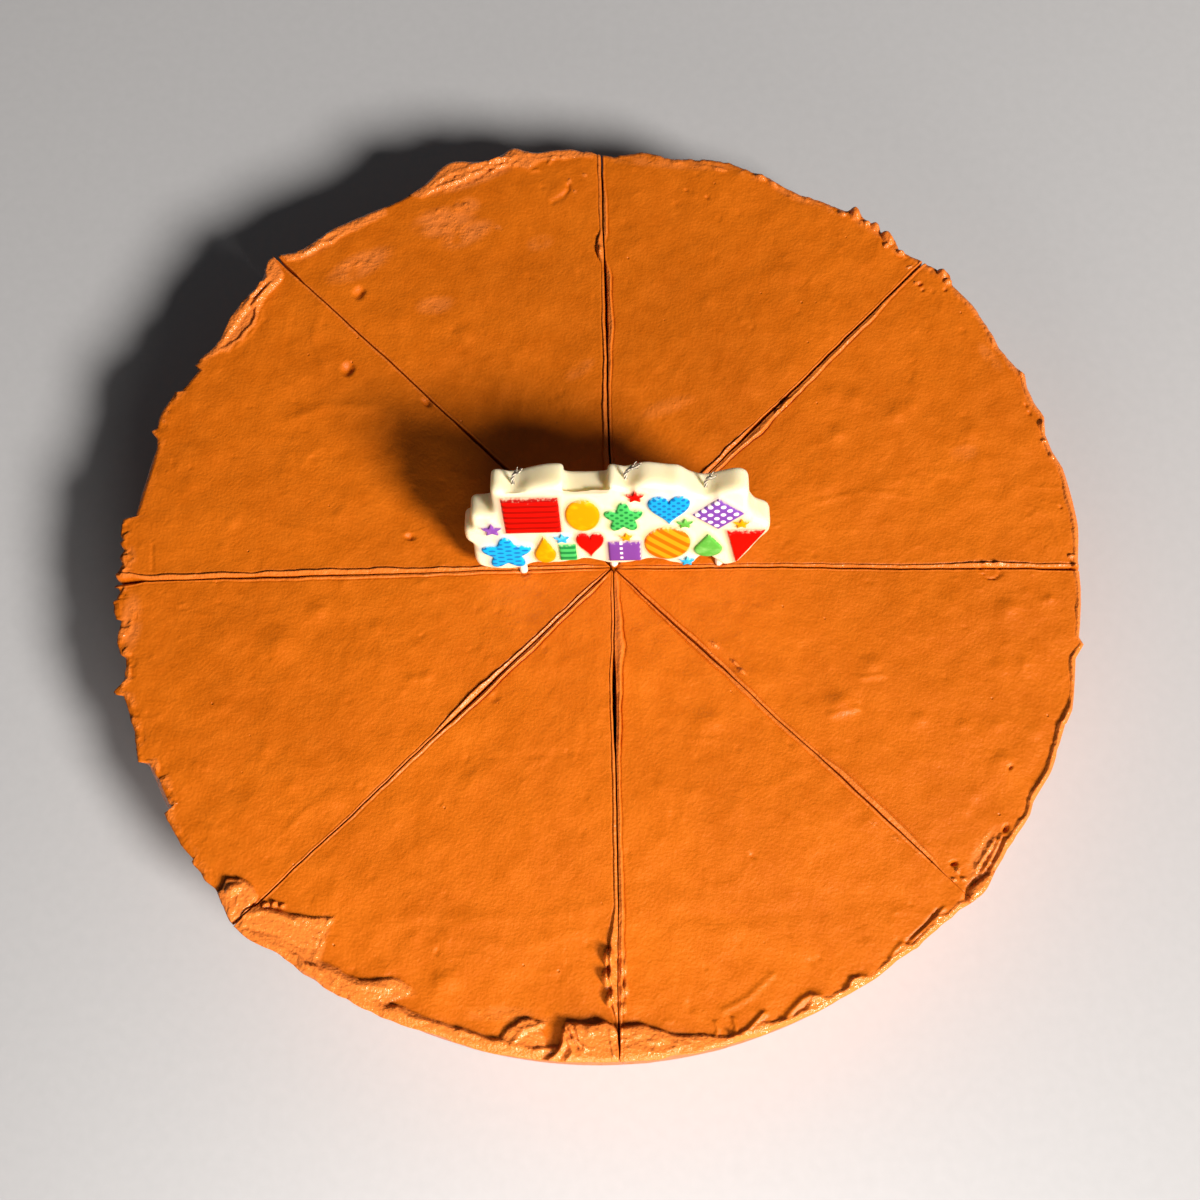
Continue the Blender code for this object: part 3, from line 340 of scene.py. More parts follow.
# Patches that were rubbed: many small glossy scuffs within an ellipse, also painted paler as painted sheen.
SCUFFS = named("x y half_length half_width heading strength",
    (-43.0, 106.8, 9, 5.0, 10, 1.0), (-36.0, 102.5, 8, 3.5, 25, 1.0), (-36.5, 112.0, 4, 3.0, 10, 0.8),
    (-67.0, 93.5, 10, 4.0, 28, 0.9), (-44.9, 79.7, 5.5, 3.0, 10, 0.7), (-15.0, 99.2, 4.0, 2.5, 20, 0.5),
    (-3.6, 57.8, 5, 2, 35, 0.5), (97.8, -81.0, 8, 3.2, 62, 1.3), (95.0, 90.0, 10, 3.0, -45, 0.7),
    (80.0, 102.0, 9, 2.5, -40, 0.8), (60.0, 113.0, 9, 3, -28, 0.8), (25.0, 124.5, 20, 2.5, -6, 0.7),
    (101.0, 29.5, 4, 2.5, 20, 0.4), (20.0, 45.5, 8, 2.5, 20, 0.4), (110.4, 58.2, 5, 2, -60, 0.5),
    (-127.0, 4.0, 4, 2, 90, 0.9), (-125.0, -14.0, 8, 3.0, 90, 0.8), (-33.0, 123.0, 16, 3.4, 22, 1.7),
    (-98.0, 85.0, 7, 3, 57, 1.2), (-80.0, 101.0, 9, 3, 30, 1.2), (5.8, -108.0, 9, 1.6, 92, 0.8),
    (-69.5, -99.0, 6, 2, 80, 1.1), (-50.0, -112.0, 5, 1.6, -10, 0.9), (-24.0, -118.0, 9, 2, 0, 0.5),
    (-5.0, -125.0, 6, 3.5, 60, 1.2), (16.0, -125.5, 12, 3.0, -5, 0.9), (-91.0, -88.0, 4, 2.5, 60, 0.7),
    (-17.0, -122.0, 6, 1.5, 25, 0.8),
)

# Soft waves of the set top by (height, length, seed).
BROAD_WAVES = ((0.40, 38, 1), (0.20, 15, 2), (0.13, 6.5, 3))
FINE_WAVES = ((0.055, 2.8, 5), (0.027, 1.5, 6))
DRIFT_HEIGHT, DRIFT_SIZE, DRIFT_STRETCH = 0.10, 8, 3.0      # waves drawn out the way the cream was poured
RIDGE_HEIGHT, RIDGE_SIZE, RIDGE_WIDTH = 0.09, 13, 0.12      # thin winding ridges, in patches
SCUFF_HEIGHT = 0.38
STREAK_HEIGHT = 0.14        # of the streaks that a knife left in spread cream
# Pinholes (-) and pimples (+) all over it, and how much of the radius they keep to.
SPOT_ROOM = 0.97
SMALL_SPOTS = named("count seed smallest largest height",
    (110, 41, 0.6, 0.95, -0.22),
    (420, 42, 0.6, 1.3, 0.12),
)

# --- How finely the slices are divided -----------------------------------------------------------
RIM_BAND = 15.0             # finely divided band along the rim
RIM_ROW = 0.35
RAGGED_BAND = 7.0           # how far in from the rim the rows follow its ragged edge
WALL_ROW = 1.5
EDGE_ROWS = (0.5, 1.0, 1.6, 2.4, 3.3, 4.5)

# --- The candle, as the frame has it -------------------------------------------------------------
SLAB_THICKNESS = 7.0
SLAB_LEAN = 12.0            # leaning back, towards +Y
CANDLE_PLACE = (0.0, -2.4, 36.5)
Pin = namedtuple("Pin", "x foot")       # across the slab, and Y where the pin enters the tart
PINS = {"left": Pin(-18.9, -1.5), "middle": Pin(5.4, -0.1), "right": Pin(33.5, -0.5)}
PIN_DIMPLE = 1.8
PIN_DIMPLE_DEPTH = 0.6
Wick = namedtuple("Wick", "x dip rise side")        # place, height of the dip, and the free end
WICKS = {
    "left": Wick(-18.5, 34.7, 5.6, 2.2),
    "middle": Wick(9.8, 35.7, 5.6, 3.4),
    "right": Wick(29.7, 31.3, 4.6, 1.9),
}
WICK_IN_SLAB = 3.5
WICK_RADIUS = 0.45
WICK_HOLLOW = 0.9           # how deep the wax sank round each wick as it cooled
HOLLOW_SIZE = (2.8, 3.0, 5.0)       # across, into and up the slab
SLAB_FRONT, FRONT_FADE = 2.6, 1.8   # how far in its front reaches, and fades out
PLY_THICKNESS = 0.42        # of a ply, as a share of the wick's radius
PLY_TAPER = 0.55            # how much of that it loses at its free end
PLY_DROOP = 0.45            # how much lower every next ply of three ends

# The slab's wavy outline, clockwise from its lower left corner, seen from the front.
SLAB_OUTLINE = (
    (-29.7, 0.3), (-31.2, 3.2), (-31.1, 10.6), (-32.6, 13.4), (-32.4, 17.4), (-30.6, 19.4),
    (-29.9, 24.2), (-24.8, 25.8), (-24.2, 33.6), (-23.5, 35.3), (-22.0, 35.6), (-18.5, 34.7), (-14.1, 36.1),
    (-10.0, 37.1), (-6.9, 37.2), (-5.7, 36.4), (-5.3, 34.0), (-0.4, 33.6), (4.9, 33.8), (5.4, 35.8),
    (6.6, 36.4), (9.8, 35.7), (14.6, 37.0), (19.8, 36.0), (23.2, 35.2), (26.2, 32.5),
    (29.7, 31.3), (33.5, 32.4), (37.4, 33.4), (39.8, 32.6), (40.6, 30.4), (40.8, 24.8), (42.6, 20.4),
    (45.7, 18.0), (46.3, 14.4), (44.0, 10.4), (41.3, 4.4), (38.0, -0.6), (34.4, -1.6),
    (32.2, 0.9), (30.2, 3.0), (28.4, 2.4), (26.8, 0.0), (23.0, -0.6), (19.8, 0.4),
    (17.6, 1.8), (14.0, 1.9), (9.8, 0.4), (4.6, 0.3), (1.4, 1.6), (-2.4, 2.8),
    (-8.6, 1.2), (-14.6, 1.6), (-19.6, -0.8), (-25.0, -1.2),
)
# How the slab's sides are rounded: depth behind its front, and how far the outline draws in there.
SLAB_SECTION = ((0.0, 1.2), (0.3, 0.7), (0.8, 0.3), (1.5, 0.1), (2.4, 0.0), (6.7, 0.0), (7.1, 0.15),
                (7.3, 0.45))

# The painted motifs: name, shape, centre across and up, width and height, paint.
MOTIFS = named("name shape x z width height paint",
    ("square_red", "square", -14.5, 25.3, 14.5, 15.6, "red_bars"),
    ("disc_yellow", "disc", -1.5, 24.8, 8.8, 13.8, "yellow"),
    ("flower_green", "flower", 8.8, 23.4, 10.3, 13.6, "green_spots"),
    ("heart_blue", "heart", 20.4, 26.2, 10.7, 12.6, "blue_spots"),
    ("diamond_purple", "diamond", 32.9, 23.9, 13.0, 13.2, "purple_spots"),
    ("flower_blue", "flower", -22.3, 8.0, 13.6, 15.0, "blue_dashes"),
    ("drop_yellow", "drop", -12.2, 9.4, 5.6, 12.4, "yellow"),
    ("square_green", "square", -6.2, 8.0, 4.4, 7.2, "green_bars"),
    ("heart_red", "heart", -0.2, 11.2, 7.2, 11.2, "red"),
    ("square_purple", "square", 8.6, 7.9, 8.4, 8.8, "purple_stitches"),
    ("disc_orange", "disc", 19.8, 11.1, 12.0, 14.8, "orange_slants"),
    ("drop_green", "drop", 30.4, 9.8, 7.4, 10.6, "light_green"),
    ("pennant_red", "pennant", 40.1, 8.9, 9.8, 14.8, "red"),
    ("star_purple", "star", -25.2, 19.2, 5.4, 5.4, "purple"),
    ("star_blue", "star", -7.5, 14.5, 4.2, 4.2, "light_blue"),
    ("star_red", "star", 12.0, 32.5, 4.6, 4.6, "red"),
    ("star_green", "star", 24.4, 20.2, 4.4, 4.4, "light_green"),
    ("star_yellow_high", "star", 38.8, 19.5, 4.2, 4.2, "yellow"),
    ("star_yellow_low", "star", 9.2, 14.5, 3.4, 3.4, "yellow"),
    ("star_blue_right", "star", 24.9, 2.5, 4.2, 4.2, "light_blue"),
)
# The side of a motif, from inside the slab to its face: the outline's scale, the depth behind the slab's
# front, and how far its paint turns towards the wax's colour.
MOTIF_SECTION = ((1.0, 1.0, 1.0), (1.0, -0.35, 0.9), (0.985, -0.65, 0.7), (0.955, -0.88, 0.5),
                 (0.91, -1.02, 0.3), (0.84, -1.1, 0.1), (0.6, -1.14, 0.0), (0.3, -1.16, 0.0),
                 (0.05, -1.17, 0.0))
PEDESTAL_HEIGHT = 0.5       # the wax swells softly under each motif
PEDESTAL_WIDTH = 1.5
MOTIF_REACH = 4.0           # how far round a motif its swell and its paint can be felt

# --- Camera and lamps, in millimetres ------------------------------------------------------------
CAMERA_PLACE = (20.60, -159.46, 460.06)
CAMERA_AIM = (1.5, -10.5, 32.0)
CAMERA_ROLL = -8.19         # degrees
CAMERA_LENS = 51.0
SENSOR = 36.0
FILL_PLACE = (0.0, -300.0, 150.0)
LAMP_TINT, AIR_TINT = "FFF3E2", "FFFBF4"


# --- Small tools ---------------------------------------------------------------------------------
def srgb(hex_colour):
    """An sRGB hex colour as linear red, green and blue."""
    parts = [int(hex_colour[i:i + 2], 16) / 255.0 for i in (0, 2, 4)]
    return tuple(p / 12.92 if p <= 0.04045 else ((p + 0.055) / 1.055) ** 2.4 for p in parts)


def rise(value):
    """0 below 0, 1 above 1, and an S-shaped rise between."""
    value = np.clip(value, 0.0, 1.0)
    return value * value * (3.0 - 2.0 * value)


def turn_between(angle, other):
    """The signed turn from one angle to another, between -180 and 180 degrees."""
    return (other - angle + 180.0) % 360.0 - 180.0


def direction(angle):
    radians = np.radians(angle)
    return np.stack([np.cos(radians), np.sin(radians)], axis=-1)


def grid_random(column, row, seed):
    """A repeatable random number from 0 to 1 for each point of a grid."""
    mixed = column.astype(np.int64) * 374761393 + row.astype(np.int64) * 668265263 + seed * 974634777
    value = mixed & 0xFFFFFFFF
    value = ((value ^ (value >> 13)) * 1274126177) & 0xFFFFFFFF
    return ((value ^ (value >> 16)) & 0xFFFFFF) / float(0xFFFFFF)


def soft_noise(x, y, size, seed):
    """Smooth noise, about -1 to 1, whose lumps are about size across."""
    turned_x = (x * 0.8 + y * 0.6) / size + 100.3
    turned_y = (y * 0.8 - x * 0.6) / size + 100.7
    column, row = np.floor(turned_x), np.floor(turned_y)
    across, up = turned_x - column, turned_y - row
    total = 0.0
    for step_x in (0, 1):
        for step_y in (0, 1):
            turn = grid_random(column + step_x, row + step_y, seed) * math.tau
            pull = np.cos(turn) * (across - step_x) + np.sin(turn) * (up - step_y)
            share_x = rise(across) if step_x else 1.0 - rise(across)
            share_y = rise(up) if step_y else 1.0 - rise(up)
            total = total + pull * share_x * share_y
    return total * 1.6


def waves(x, y, *layers):
    """Layers of smooth noise, each by its height, size and seed."""
    return sum(height * soft_noise(x, y, size, seed) for height, size, seed in layers)


def flakes(x, y, size, seed):
    """Flat flakes about size across, each at its own level and slant, about -1 to 1."""
    column, row = np.floor(x / size), np.floor(y / size)
    nearest, level = np.full(np.shape(x), 1e6), np.zeros(np.shape(x))
    for step_x in (-1, 0, 1):
        for step_y in (-1, 0, 1):
            cell = (column + step_x, row + step_y)
            across = x / size - cell[0] - grid_random(*cell, seed)
            up = y / size - cell[1] - grid_random(*cell, seed + 1)
            middle, slant_x, slant_y = (grid_random(*cell, seed + number) * 2.0 - 1.0 for number in (2, 3, 4))
            apart = across ** 2 + up ** 2
            level = np.where(apart < nearest, 0.7 * middle + 0.6 * (slant_x * across + slant_y * up), level)
            nearest = np.minimum(nearest, apart)
    return level


def in_ellipse(x, y, spot):
    """Distance from an ellipse's middle as a share of its reach: 1 on its outline."""
    along, across = direction(spot.heading)
    dx, dy = x - spot.x, y - spot.y
    lengthways, sideways = dx * along + dy * across, dy * along - dx * across
    return np.hypot(lengthways / spot.half_length, sideways / spot.half_width)


def distance_to_line(x, y, points):
    """Distance to a line of points."""
    nearest = np.full(np.shape(x), 1e6)
    for (ax, ay), (bx, by) in pairwise(points):
        length = (bx - ax) ** 2 + (by - ay) ** 2
        along = np.clip(((x - ax) * (bx - ax) + (y - ay) * (by - ay)) / length, 0.0, 1.0)
        nearest = np.minimum(nearest, np.hypot(x - ax - along * (bx - ax), y - ay - along * (by - ay)))
    return nearest


def inside_outline(x, y, outline):
    """Whether points lie inside a closed outline."""
    inside = np.zeros(np.shape(x), bool)
    for (ax, ay), (bx, by) in pairwise(outline + outline[:1]):
        crosses = (ay > y) != (by > y)
        at = (bx - ax) * (y - ay) / ((by - ay) or 1e-9) + ax
        inside ^= crosses & (x < at)
    return inside


def add_object(name, data, *materials):
    thing = bpy.data.objects.new(name, data)
    bpy.context.scene.collection.objects.link(thing)
    for material in materials:
        data.materials.append(material)
    return thing


def dress(thing, slot, *nodes):
    """Give a piece its body, and hide the nodes that it stands for. The slot is not used."""
    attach(thing, BODY)
    if nodes:
        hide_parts(*nodes)


def array_mesh(name, points, faces, smooth=True):
    """A mesh in metres from points in millimetres and faces as lists of point numbers."""
    mesh = bpy.data.meshes.new(name)
    mesh.from_pydata((np.asarray(points) * MM).tolist(), [], faces)
    if smooth:
        mesh.shade_smooth()
    return mesh


def grid_faces(numbers):
    """Quads over a grid of point numbers."""
    quads = np.stack([numbers[:-1, :-1], numbers[:-1, 1:], numbers[1:, 1:], numbers[1:, :-1]], axis=-1)
    return quads.reshape(-1, 4).tolist()


def stack_faces(rings, count):
    """Quads between rings of as many points each, and a cap on both ends."""
    numbers = np.arange(rings * count).reshape(rings, count)
    faces = grid_faces(np.concatenate([numbers, numbers[:, :1]], axis=1))
    return faces + [numbers[0][::-1].tolist(), numbers[-1].tolist()]


def add_layer(mesh, label, kind, field, values):
    """Values at a mesh's points, for its material to read."""
    layer = mesh.attributes.new(label, kind, "POINT")
    layer.data.foreach_set(field, np.asarray(values, np.float32).ravel())


# --- The tart's surface --------------------------------------------------------------------------
def swell_sum(angle, swells):
    return sum(s.out * np.exp(-(turn_between(s.angle, angle) / s.half_width) ** 2) for s in swells)


def facets(arc, shortest, longest, seed):
    """A broken line round the tart, -1 to 1: straight facets between corners at uneven steps."""
    girth = math.tau * TART_RADIUS
    draw = np.random.default_rng(seed)
    steps = shortest + (longest - shortest) * draw.random(int(girth / shortest))
    corners = np.cumsum(steps)
    corners = corners[corners < girth]
    return np.interp(arc, corners, draw.random(len(corners)) * 2.0 - 1.0, period=girth)


def ragged_edge(angle):
    """How far the top edge's torn facets and teeth stand out, from the middle of the tart."""
    arc = np.radians(angle) * TART_RADIUS
    angles, broad, fine = zip(*RAGGED)
    narrow = facets(arc, shortest=1.0, longest=3.2, seed=12)
    teeth = np.interp(angle % 360.0, angles, fine) * np.minimum(narrow, TEETH_CAP)
    edge = np.interp(angle % 360.0, angles, broad) * facets(arc, shortest=2.5, longest=9.0, seed=11) + teeth
    for corners in TORN_EDGES:
        x, y = np.array(corners).T
        corner_turns = turn_between(middle_angle(x[0], y[0]), middle_angle(x, y))
        turn = turn_between(middle_angle(x[0], y[0]), angle)
        out = np.interp(turn, corner_turns, np.hypot(x, y)) - TART_RADIUS + TORN_TEETH * teeth
        edge = np.where((turn >= 0.0) & (turn <= corner_turns[-1]), out - swell_sum(angle, RIM_SWELLS), edge)
    return edge


def ray_to_circle(angle, radius):
    """Distance from the meeting point of the cuts to a circle about the tart's middle."""
    along = direction(angle) @ CUT_CENTRE
    return -along + np.sqrt(along ** 2 + radius ** 2 - CUT_CENTRE @ CUT_CENTRE)


def middle_angle(x, y):
    return np.degrees(np.arctan2(y, x)) % 360.0


def uneven_share(arc, sway, size, seed, shortest, longest):
    """A share about 1 that sways along the rim and breaks into facets."""
    swaying = 1.0 + sway * soft_noise(arc, arc * 0.0, size, seed)
    return swaying + LIP_FACETS * facets(arc, shortest, longest, seed + 2)


def lip_shape(angle, inset):
    """Height of the standing lip, and where it is: it rises inwards and drops steeply to the top."""
    past_start = turn_between(LIP_FROM, angle) % 360.0
    before_end = (LIP_TO - LIP_FROM) - past_start
    fade = rise(np.minimum(past_start, before_end) / LIP_FADE) * (past_start < LIP_TO - LIP_FROM)
    arc = np.radians(angle) * TART_RADIUS
    wide = np.where(angle < LIP_FROM, angle + 360.0, angle)
    angles, widths, heights = zip(*LIP)
    width = np.interp(wide, angles, widths) * uneven_share(arc, sway=0.20, size=8.0, seed=21, shortest=1.0,
                                                            longest=4.0)
    width = width + swell_sum(angle, LIP_CURLS)
    height = np.interp(wide, angles, heights) * uneven_share(arc, sway=0.35, size=7.0, seed=22, shortest=1.2,
                                                              longest=3.5)
    outer = LIP_OUTER + (1.0 - LIP_OUTER) * rise(inset / (width * 0.75))
    drop = rise((width - inset) / LIP_DROP)
    return fade * height * outer * drop, fade * rise((width + 0.4 - inset) / 0.8)


def torn_band(x, y, angle, inset):
    """Height and gloss of the crumbly cream along the torn stretches of the rim."""
    angles, _, fine = zip(*RAGGED)
    share = np.interp(angle, angles, fine) * rise((TORN_WIDTH - inset) / TORN_FADE)
    crumbs = 0.9 * flakes(x, y, 3.0, 53) + 0.4 * soft_noise(x, y, 1.2, 54)
    return TORN_HEIGHT * share * crumbs, np.minimum(1.0, 1.4 * share) * rise(crumbs * 1.5 + 0.1)


def smear_shape(x, y):
    """Height of the smeared cream, with a crevice along its edge, and where it lies."""
    height, groove = np.zeros(np.shape(x)), np.zeros(np.shape(x))
    pocket = np.zeros(np.shape(x))
    wobble_x = x + SMEAR_WOBBLE * soft_noise(x, y, 3.0, 31)
    wobble_y = y + SMEAR_WOBBLE * soft_noise(x, y, 3.0, 32)
    for smear in SMEARS:
        outline = tuple((px, py) for px, py, _ in smear)
        distance = distance_to_line(wobble_x, wobble_y, outline + outline[:1])
        signed = np.where(inside_outline(wobble_x, wobble_y, outline), distance, -distance)
        weights = [1.0 / ((x - px) ** 2 + (y - py) ** 2 + 0.3) for px, py, _ in smear]
        thickness = sum(w * point[2] for w, point in zip(weights, smear)) / sum(weights)
        crown = np.sqrt(1.0 - (1.0 - np.clip(signed / SMEAR_CROWN, 0.0, 1.0)) ** 2)
        body = thickness * (1.0 - SMEAR_ROUNDING * (1.0 - crown)) * rise(signed / SMEAR_EDGE + 0.5)
        if smear[0][2] < 0:
            pocket += body
        else:
            height = np.maximum(height, body)
            groove = np.maximum(groove, np.exp(-((signed + GROOVE_AWAY) / GROOVE_WIDTH) ** 2))
    on_smear = rise(height / 0.4)
    return height + pocket - SMEAR_GROOVE * groove * (1.0 - on_smear), on_smear


def scatter_spots(kind):
    """Seeded small features on the top: place and radius."""
    draw = np.random.default_rng(kind.seed)
    far = TART_RADIUS * SPOT_ROOM * np.sqrt(draw.random(kind.count))
    turn = draw.random(kind.count) * math.tau
    radius = kind.smallest + (kind.largest - kind.smallest) * draw.random(kind.count) ** 2
    return np.stack([far * np.cos(turn), far * np.sin(turn), radius], axis=-1)


def small_spots(x, y):
    """Pinholes and pimples in the set cream."""
    height = np.zeros(np.shape(x))
    box = (x.min() - 2, x.max() + 2, y.min() - 2, y.max() + 2)
    for kind in SMALL_SPOTS:
        for spot_x, spot_y, radius in scatter_spots(kind):
            if not (box[0] < spot_x < box[1] and box[2] < spot_y < box[3]):
                continue
            near = (np.abs(x - spot_x) < 3 * radius) & (np.abs(y - spot_y) < 3 * radius)
            reach = np.hypot(x[near] - spot_x, y[near] - spot_y) / radius
            height[near] += kind.height * np.exp(-reach ** 2)
    return height


def skin_relief(x, y):
    """Height of the skin as it set: waves, ridges, bubbles and creases."""
    height = waves(x, y, *BROAD_WAVES)
    height += waves(x, y, *FINE_WAVES)
    poured_along, poured_across = x * 0.87 + y * 0.5, y * 0.87 - x * 0.5
    height += DRIFT_HEIGHT * soft_noise(poured_along / DRIFT_STRETCH, poured_across, DRIFT_SIZE, 4)
    patchy = rise(soft_noise(x, y, 30, 7) * 2.0)
    height += RIDGE_HEIGHT * patchy * np.exp(-(soft_noise(x, y, RIDGE_SIZE, 8) / RIDGE_WIDTH) ** 2)
    height += small_spots(x, y)
    for mound in MOUNDS:
        reach = np.hypot(x - mound.x, y - mound.y) / mound.radius
        height += mound.height * np.exp(-reach ** 2)
    for crease in CREASES:
        height += crease.height * np.exp(-(distance_to_line(x, y, crease.points) / crease.half_width) ** 2)
    return height


def top_relief(x, y, inset, flat_height):
    """Height of the top without the burrs, how glossy it is there, and how pale it is painted: spread cream,
    with painted sheen on glossy, rubbed and torn places.
    """
    angle = middle_angle(x, y)
    height = skin_relief(x, y)
    gloss, painted_sheen = np.zeros(np.shape(x)), np.zeros(np.shape(x))
    for scuff in SCUFFS:
        share = scuff.strength * rise((1.25 - in_ellipse(x, y, scuff)) / 0.7)
        ahead, aside = direction(scuff.heading)
        along, across = x * ahead + y * aside, y * ahead - x * aside
        rubbed = soft_noise(along / 2.2, across, 1.7, 51) + 0.7 * soft_noise(along / 1.5, across, 0.9, 52)
        height += SCUFF_HEIGHT * share * np.maximum(rubbed, -0.3)
        gloss = np.maximum(gloss, share * rise(rubbed * 1.6 + 0.3))
        # Painted sheen: the rubbed patches are painted paler, as a broad sheen of light would make them look.
        painted_sheen = np.maximum(painted_sheen, share * rise(0.8 + 0.8 * soft_noise(x, y, 5.0, 55)))
    torn, torn_gloss = torn_band(x, y, angle, inset)
    height += torn
    gloss = np.maximum(gloss, torn_gloss)
    lip, on_lip = lip_shape(angle, inset)
    smear, on_smear = smear_shape(x, y)
    spread = np.maximum(on_lip, on_smear)
    arc = np.radians(angle) * TART_RADIUS
    streaks = soft_noise(arc / 5.0, inset, 1.5, 61) + 0.5 * soft_noise(arc / 3.0, inset, 0.8, 62)
    height += np.maximum(lip, smear) + STREAK_HEIGHT * spread * streaks
    for blob in BLOBS:
        reach = in_ellipse(x, y, blob)
        height = np.maximum(height, height + blob.height * np.sqrt(np.clip(1.0 - reach ** 2, 0.0, 1.0)))
        gloss = np.maximum(gloss, 0.9 * rise((1.3 - reach) / 0.4))
    for crater in CRATERS:
        reach = in_ellipse(x, y, crater)
        height -= crater.depth * np.clip(1.0 - reach ** 2, 0.0, 1.0)
    for pin in PINS.values():
        reach = np.hypot(x - pin.x, y - pin.foot) / PIN_DIMPLE
        height -= PIN_DIMPLE_DEPTH * rise((1.2 - reach) / 0.6)
    height -= EDGE_DROP * rise(1.0 - inset)
    # Paler on spread cream, and painted sheen and painted highlights on glossy, rubbed and torn places and on
    # lip faces turned to the light.
    pale = np.maximum(np.maximum(0.8 * gloss, 0.9 * painted_sheen), spread)
    return flat_height + height, np.maximum(gloss, spread), np.minimum(pale, 1.0)


def station_values(distance, stations, column):
    return np.interp(distance, [s[0] for s in stations], [s[column] for s in stations])


def burr_height(away, distance, stations, seed):
    """The knife's burr: it rises from the cut and drops steeply on its far side."""
    level = distance * 0.0
    wobble = 1.0 + 0.24 * soft_noise(distance, level, 6.0, seed)
    wobble = wobble + 0.08 * soft_noise(distance, level, 2.2, seed + 1)
    width = station_values(distance, stations, 1) * wobble
    height = station_values(distance, stations, 2) * np.clip(distance / 8.0, 0.2, 1.0)
    height = height * (1.0 + 0.3 * soft_noise(distance, away, 2.5, seed + 2))
    share = away / width
    climb = BURR_AT_EDGE + (1.0 - BURR_AT_EDGE) * rise(share / BURR_PEAK)
    fall = rise((1.0 - share) / (1.0 - BURR_PEAK))
    crevice = CREVICE * height / 0.5 * np.exp(-((away - width) / CREVICE_WIDTH) ** 2)
    return height * climb * fall - crevice


def cut_wander(distance, cut, depth):
    """How far the knife strayed sideways along its cut, and more so further down."""
    seed = 70 + CUTS.index(cut)
    level = distance * 0.0
    top = waves(distance, level, (0.30, 22.0, seed), (0.10, 4.0, seed))
    return top + DEEP_WANDER * rise(depth / 8.0) * soft_noise(distance, level + depth / 2.0, 16.0, seed + 40)


class SlicePlan:
    """The grid of one slice's top: columns fan out from the tip, rows run across."""

    def __init__(self, first, second, columns, row):
        self.first, self.second = first, second
        self.spread = turn_between(first.angle, second.angle)
        even = np.arange(columns + 1) / columns
        half = (0.6 * even ** 1.4 + 0.4 * even) / 2.0
        self.shares = np.concatenate([half, 1.0 - half[-2::-1]])
        self.angles = first.angle + self.spread * self.shares
        rim = ray_to_circle(self.angles, TART_RADIUS)
        seen = CUT_CENTRE + direction(self.angles) * rim[:, None]
        around = middle_angle(seen[:, 0], seen[:, 1])
        self.smooth_rim = rim + swell_sum(around, RIM_SWELLS)
        self.ragged = ragged_edge(around)
        inner = int((TART_RADIUS - RIM_BAND - TIP_DISTANCE) / row)
        rim_rows = int(RIM_BAND / RIM_ROW)
        share = np.arange(inner)[:, None] / inner
        inner_rows = TIP_DISTANCE + (self.smooth_rim - RIM_BAND - TIP_DISTANCE) * share
        insets = RIM_BAND * (1.0 - np.arange(rim_rows + 1)[:, None] / rim_rows)
        outer_rows = self.smooth_rim - insets + self.ragged * rise(1.0 - insets / RAGGED_BAND)
        self.distances = np.concatenate([inner_rows, outer_rows])

    def place(self, distances, columns=slice(None), depth=0.0):
        """Points in plan at distances from where the cuts meet, clear of both cuts at a depth."""
        shares = self.shares[columns]
        points = CUT_CENTRE + direction(self.angles[columns]) * distances[..., None]
        for cut, side, weight in ((self.first, 1, (1.0 - shares) ** 5), (self.second, -1, shares ** 5)):
            deep = station_values(distances, cut.deep, 1)
            gap = deep + (station_values(distances, cut.gap, 1) - deep) * np.exp(-depth / MOUTH_DEPTH)
            aside = gap / 2.0 * side + cut_wander(distances, cut, depth)
            points = points + direction(cut.angle + 90.0) * (aside * weight)[..., None]
        return points

    def heights(self, flat_height):
        """Heights, gloss and paleness over the grid; the burrs are painted paler, a painted highlight."""
        points = self.place(self.distances)
        inset = (self.smooth_rim + self.ragged) - self.distances
        height, gloss, pale = top_relief(points[..., 0], points[..., 1], inset, flat_height)
        width = np.radians(self.spread) * self.distances
        first, second = self.first, self.second
        burr = burr_height(self.shares * width, self.distances, first.anticlockwise, 80 + CUTS.index(first))
        away = (1.0 - self.shares) * width
        burr = burr + burr_height(away, self.distances, second.clockwise, 90 + CUTS.index(second))
        # The burrs are painted paler: a painted highlight on ridges that face the light.
        on_burr = rise(burr / 0.25)
        return points, height + burr, np.maximum(gloss, 0.6 * on_burr), np.maximum(pale, 0.8 * on_burr)


def wall_relief(angle, height):
    """How far the side wall stands out: soft waves, scrape marks and pits from air at the tin."""
    arc = np.radians(angle) * TART_RADIUS
    out = waves(arc, height, (0.22, 14, 101), (0.10, 4, 102))
    out += 0.07 * soft_noise(arc / 6.0, height, 1.6, 103)
    pit = soft_noise(arc, height, 2.6, 104)
    return out - 0.5 * rise((pit - 0.55) / 0.3)


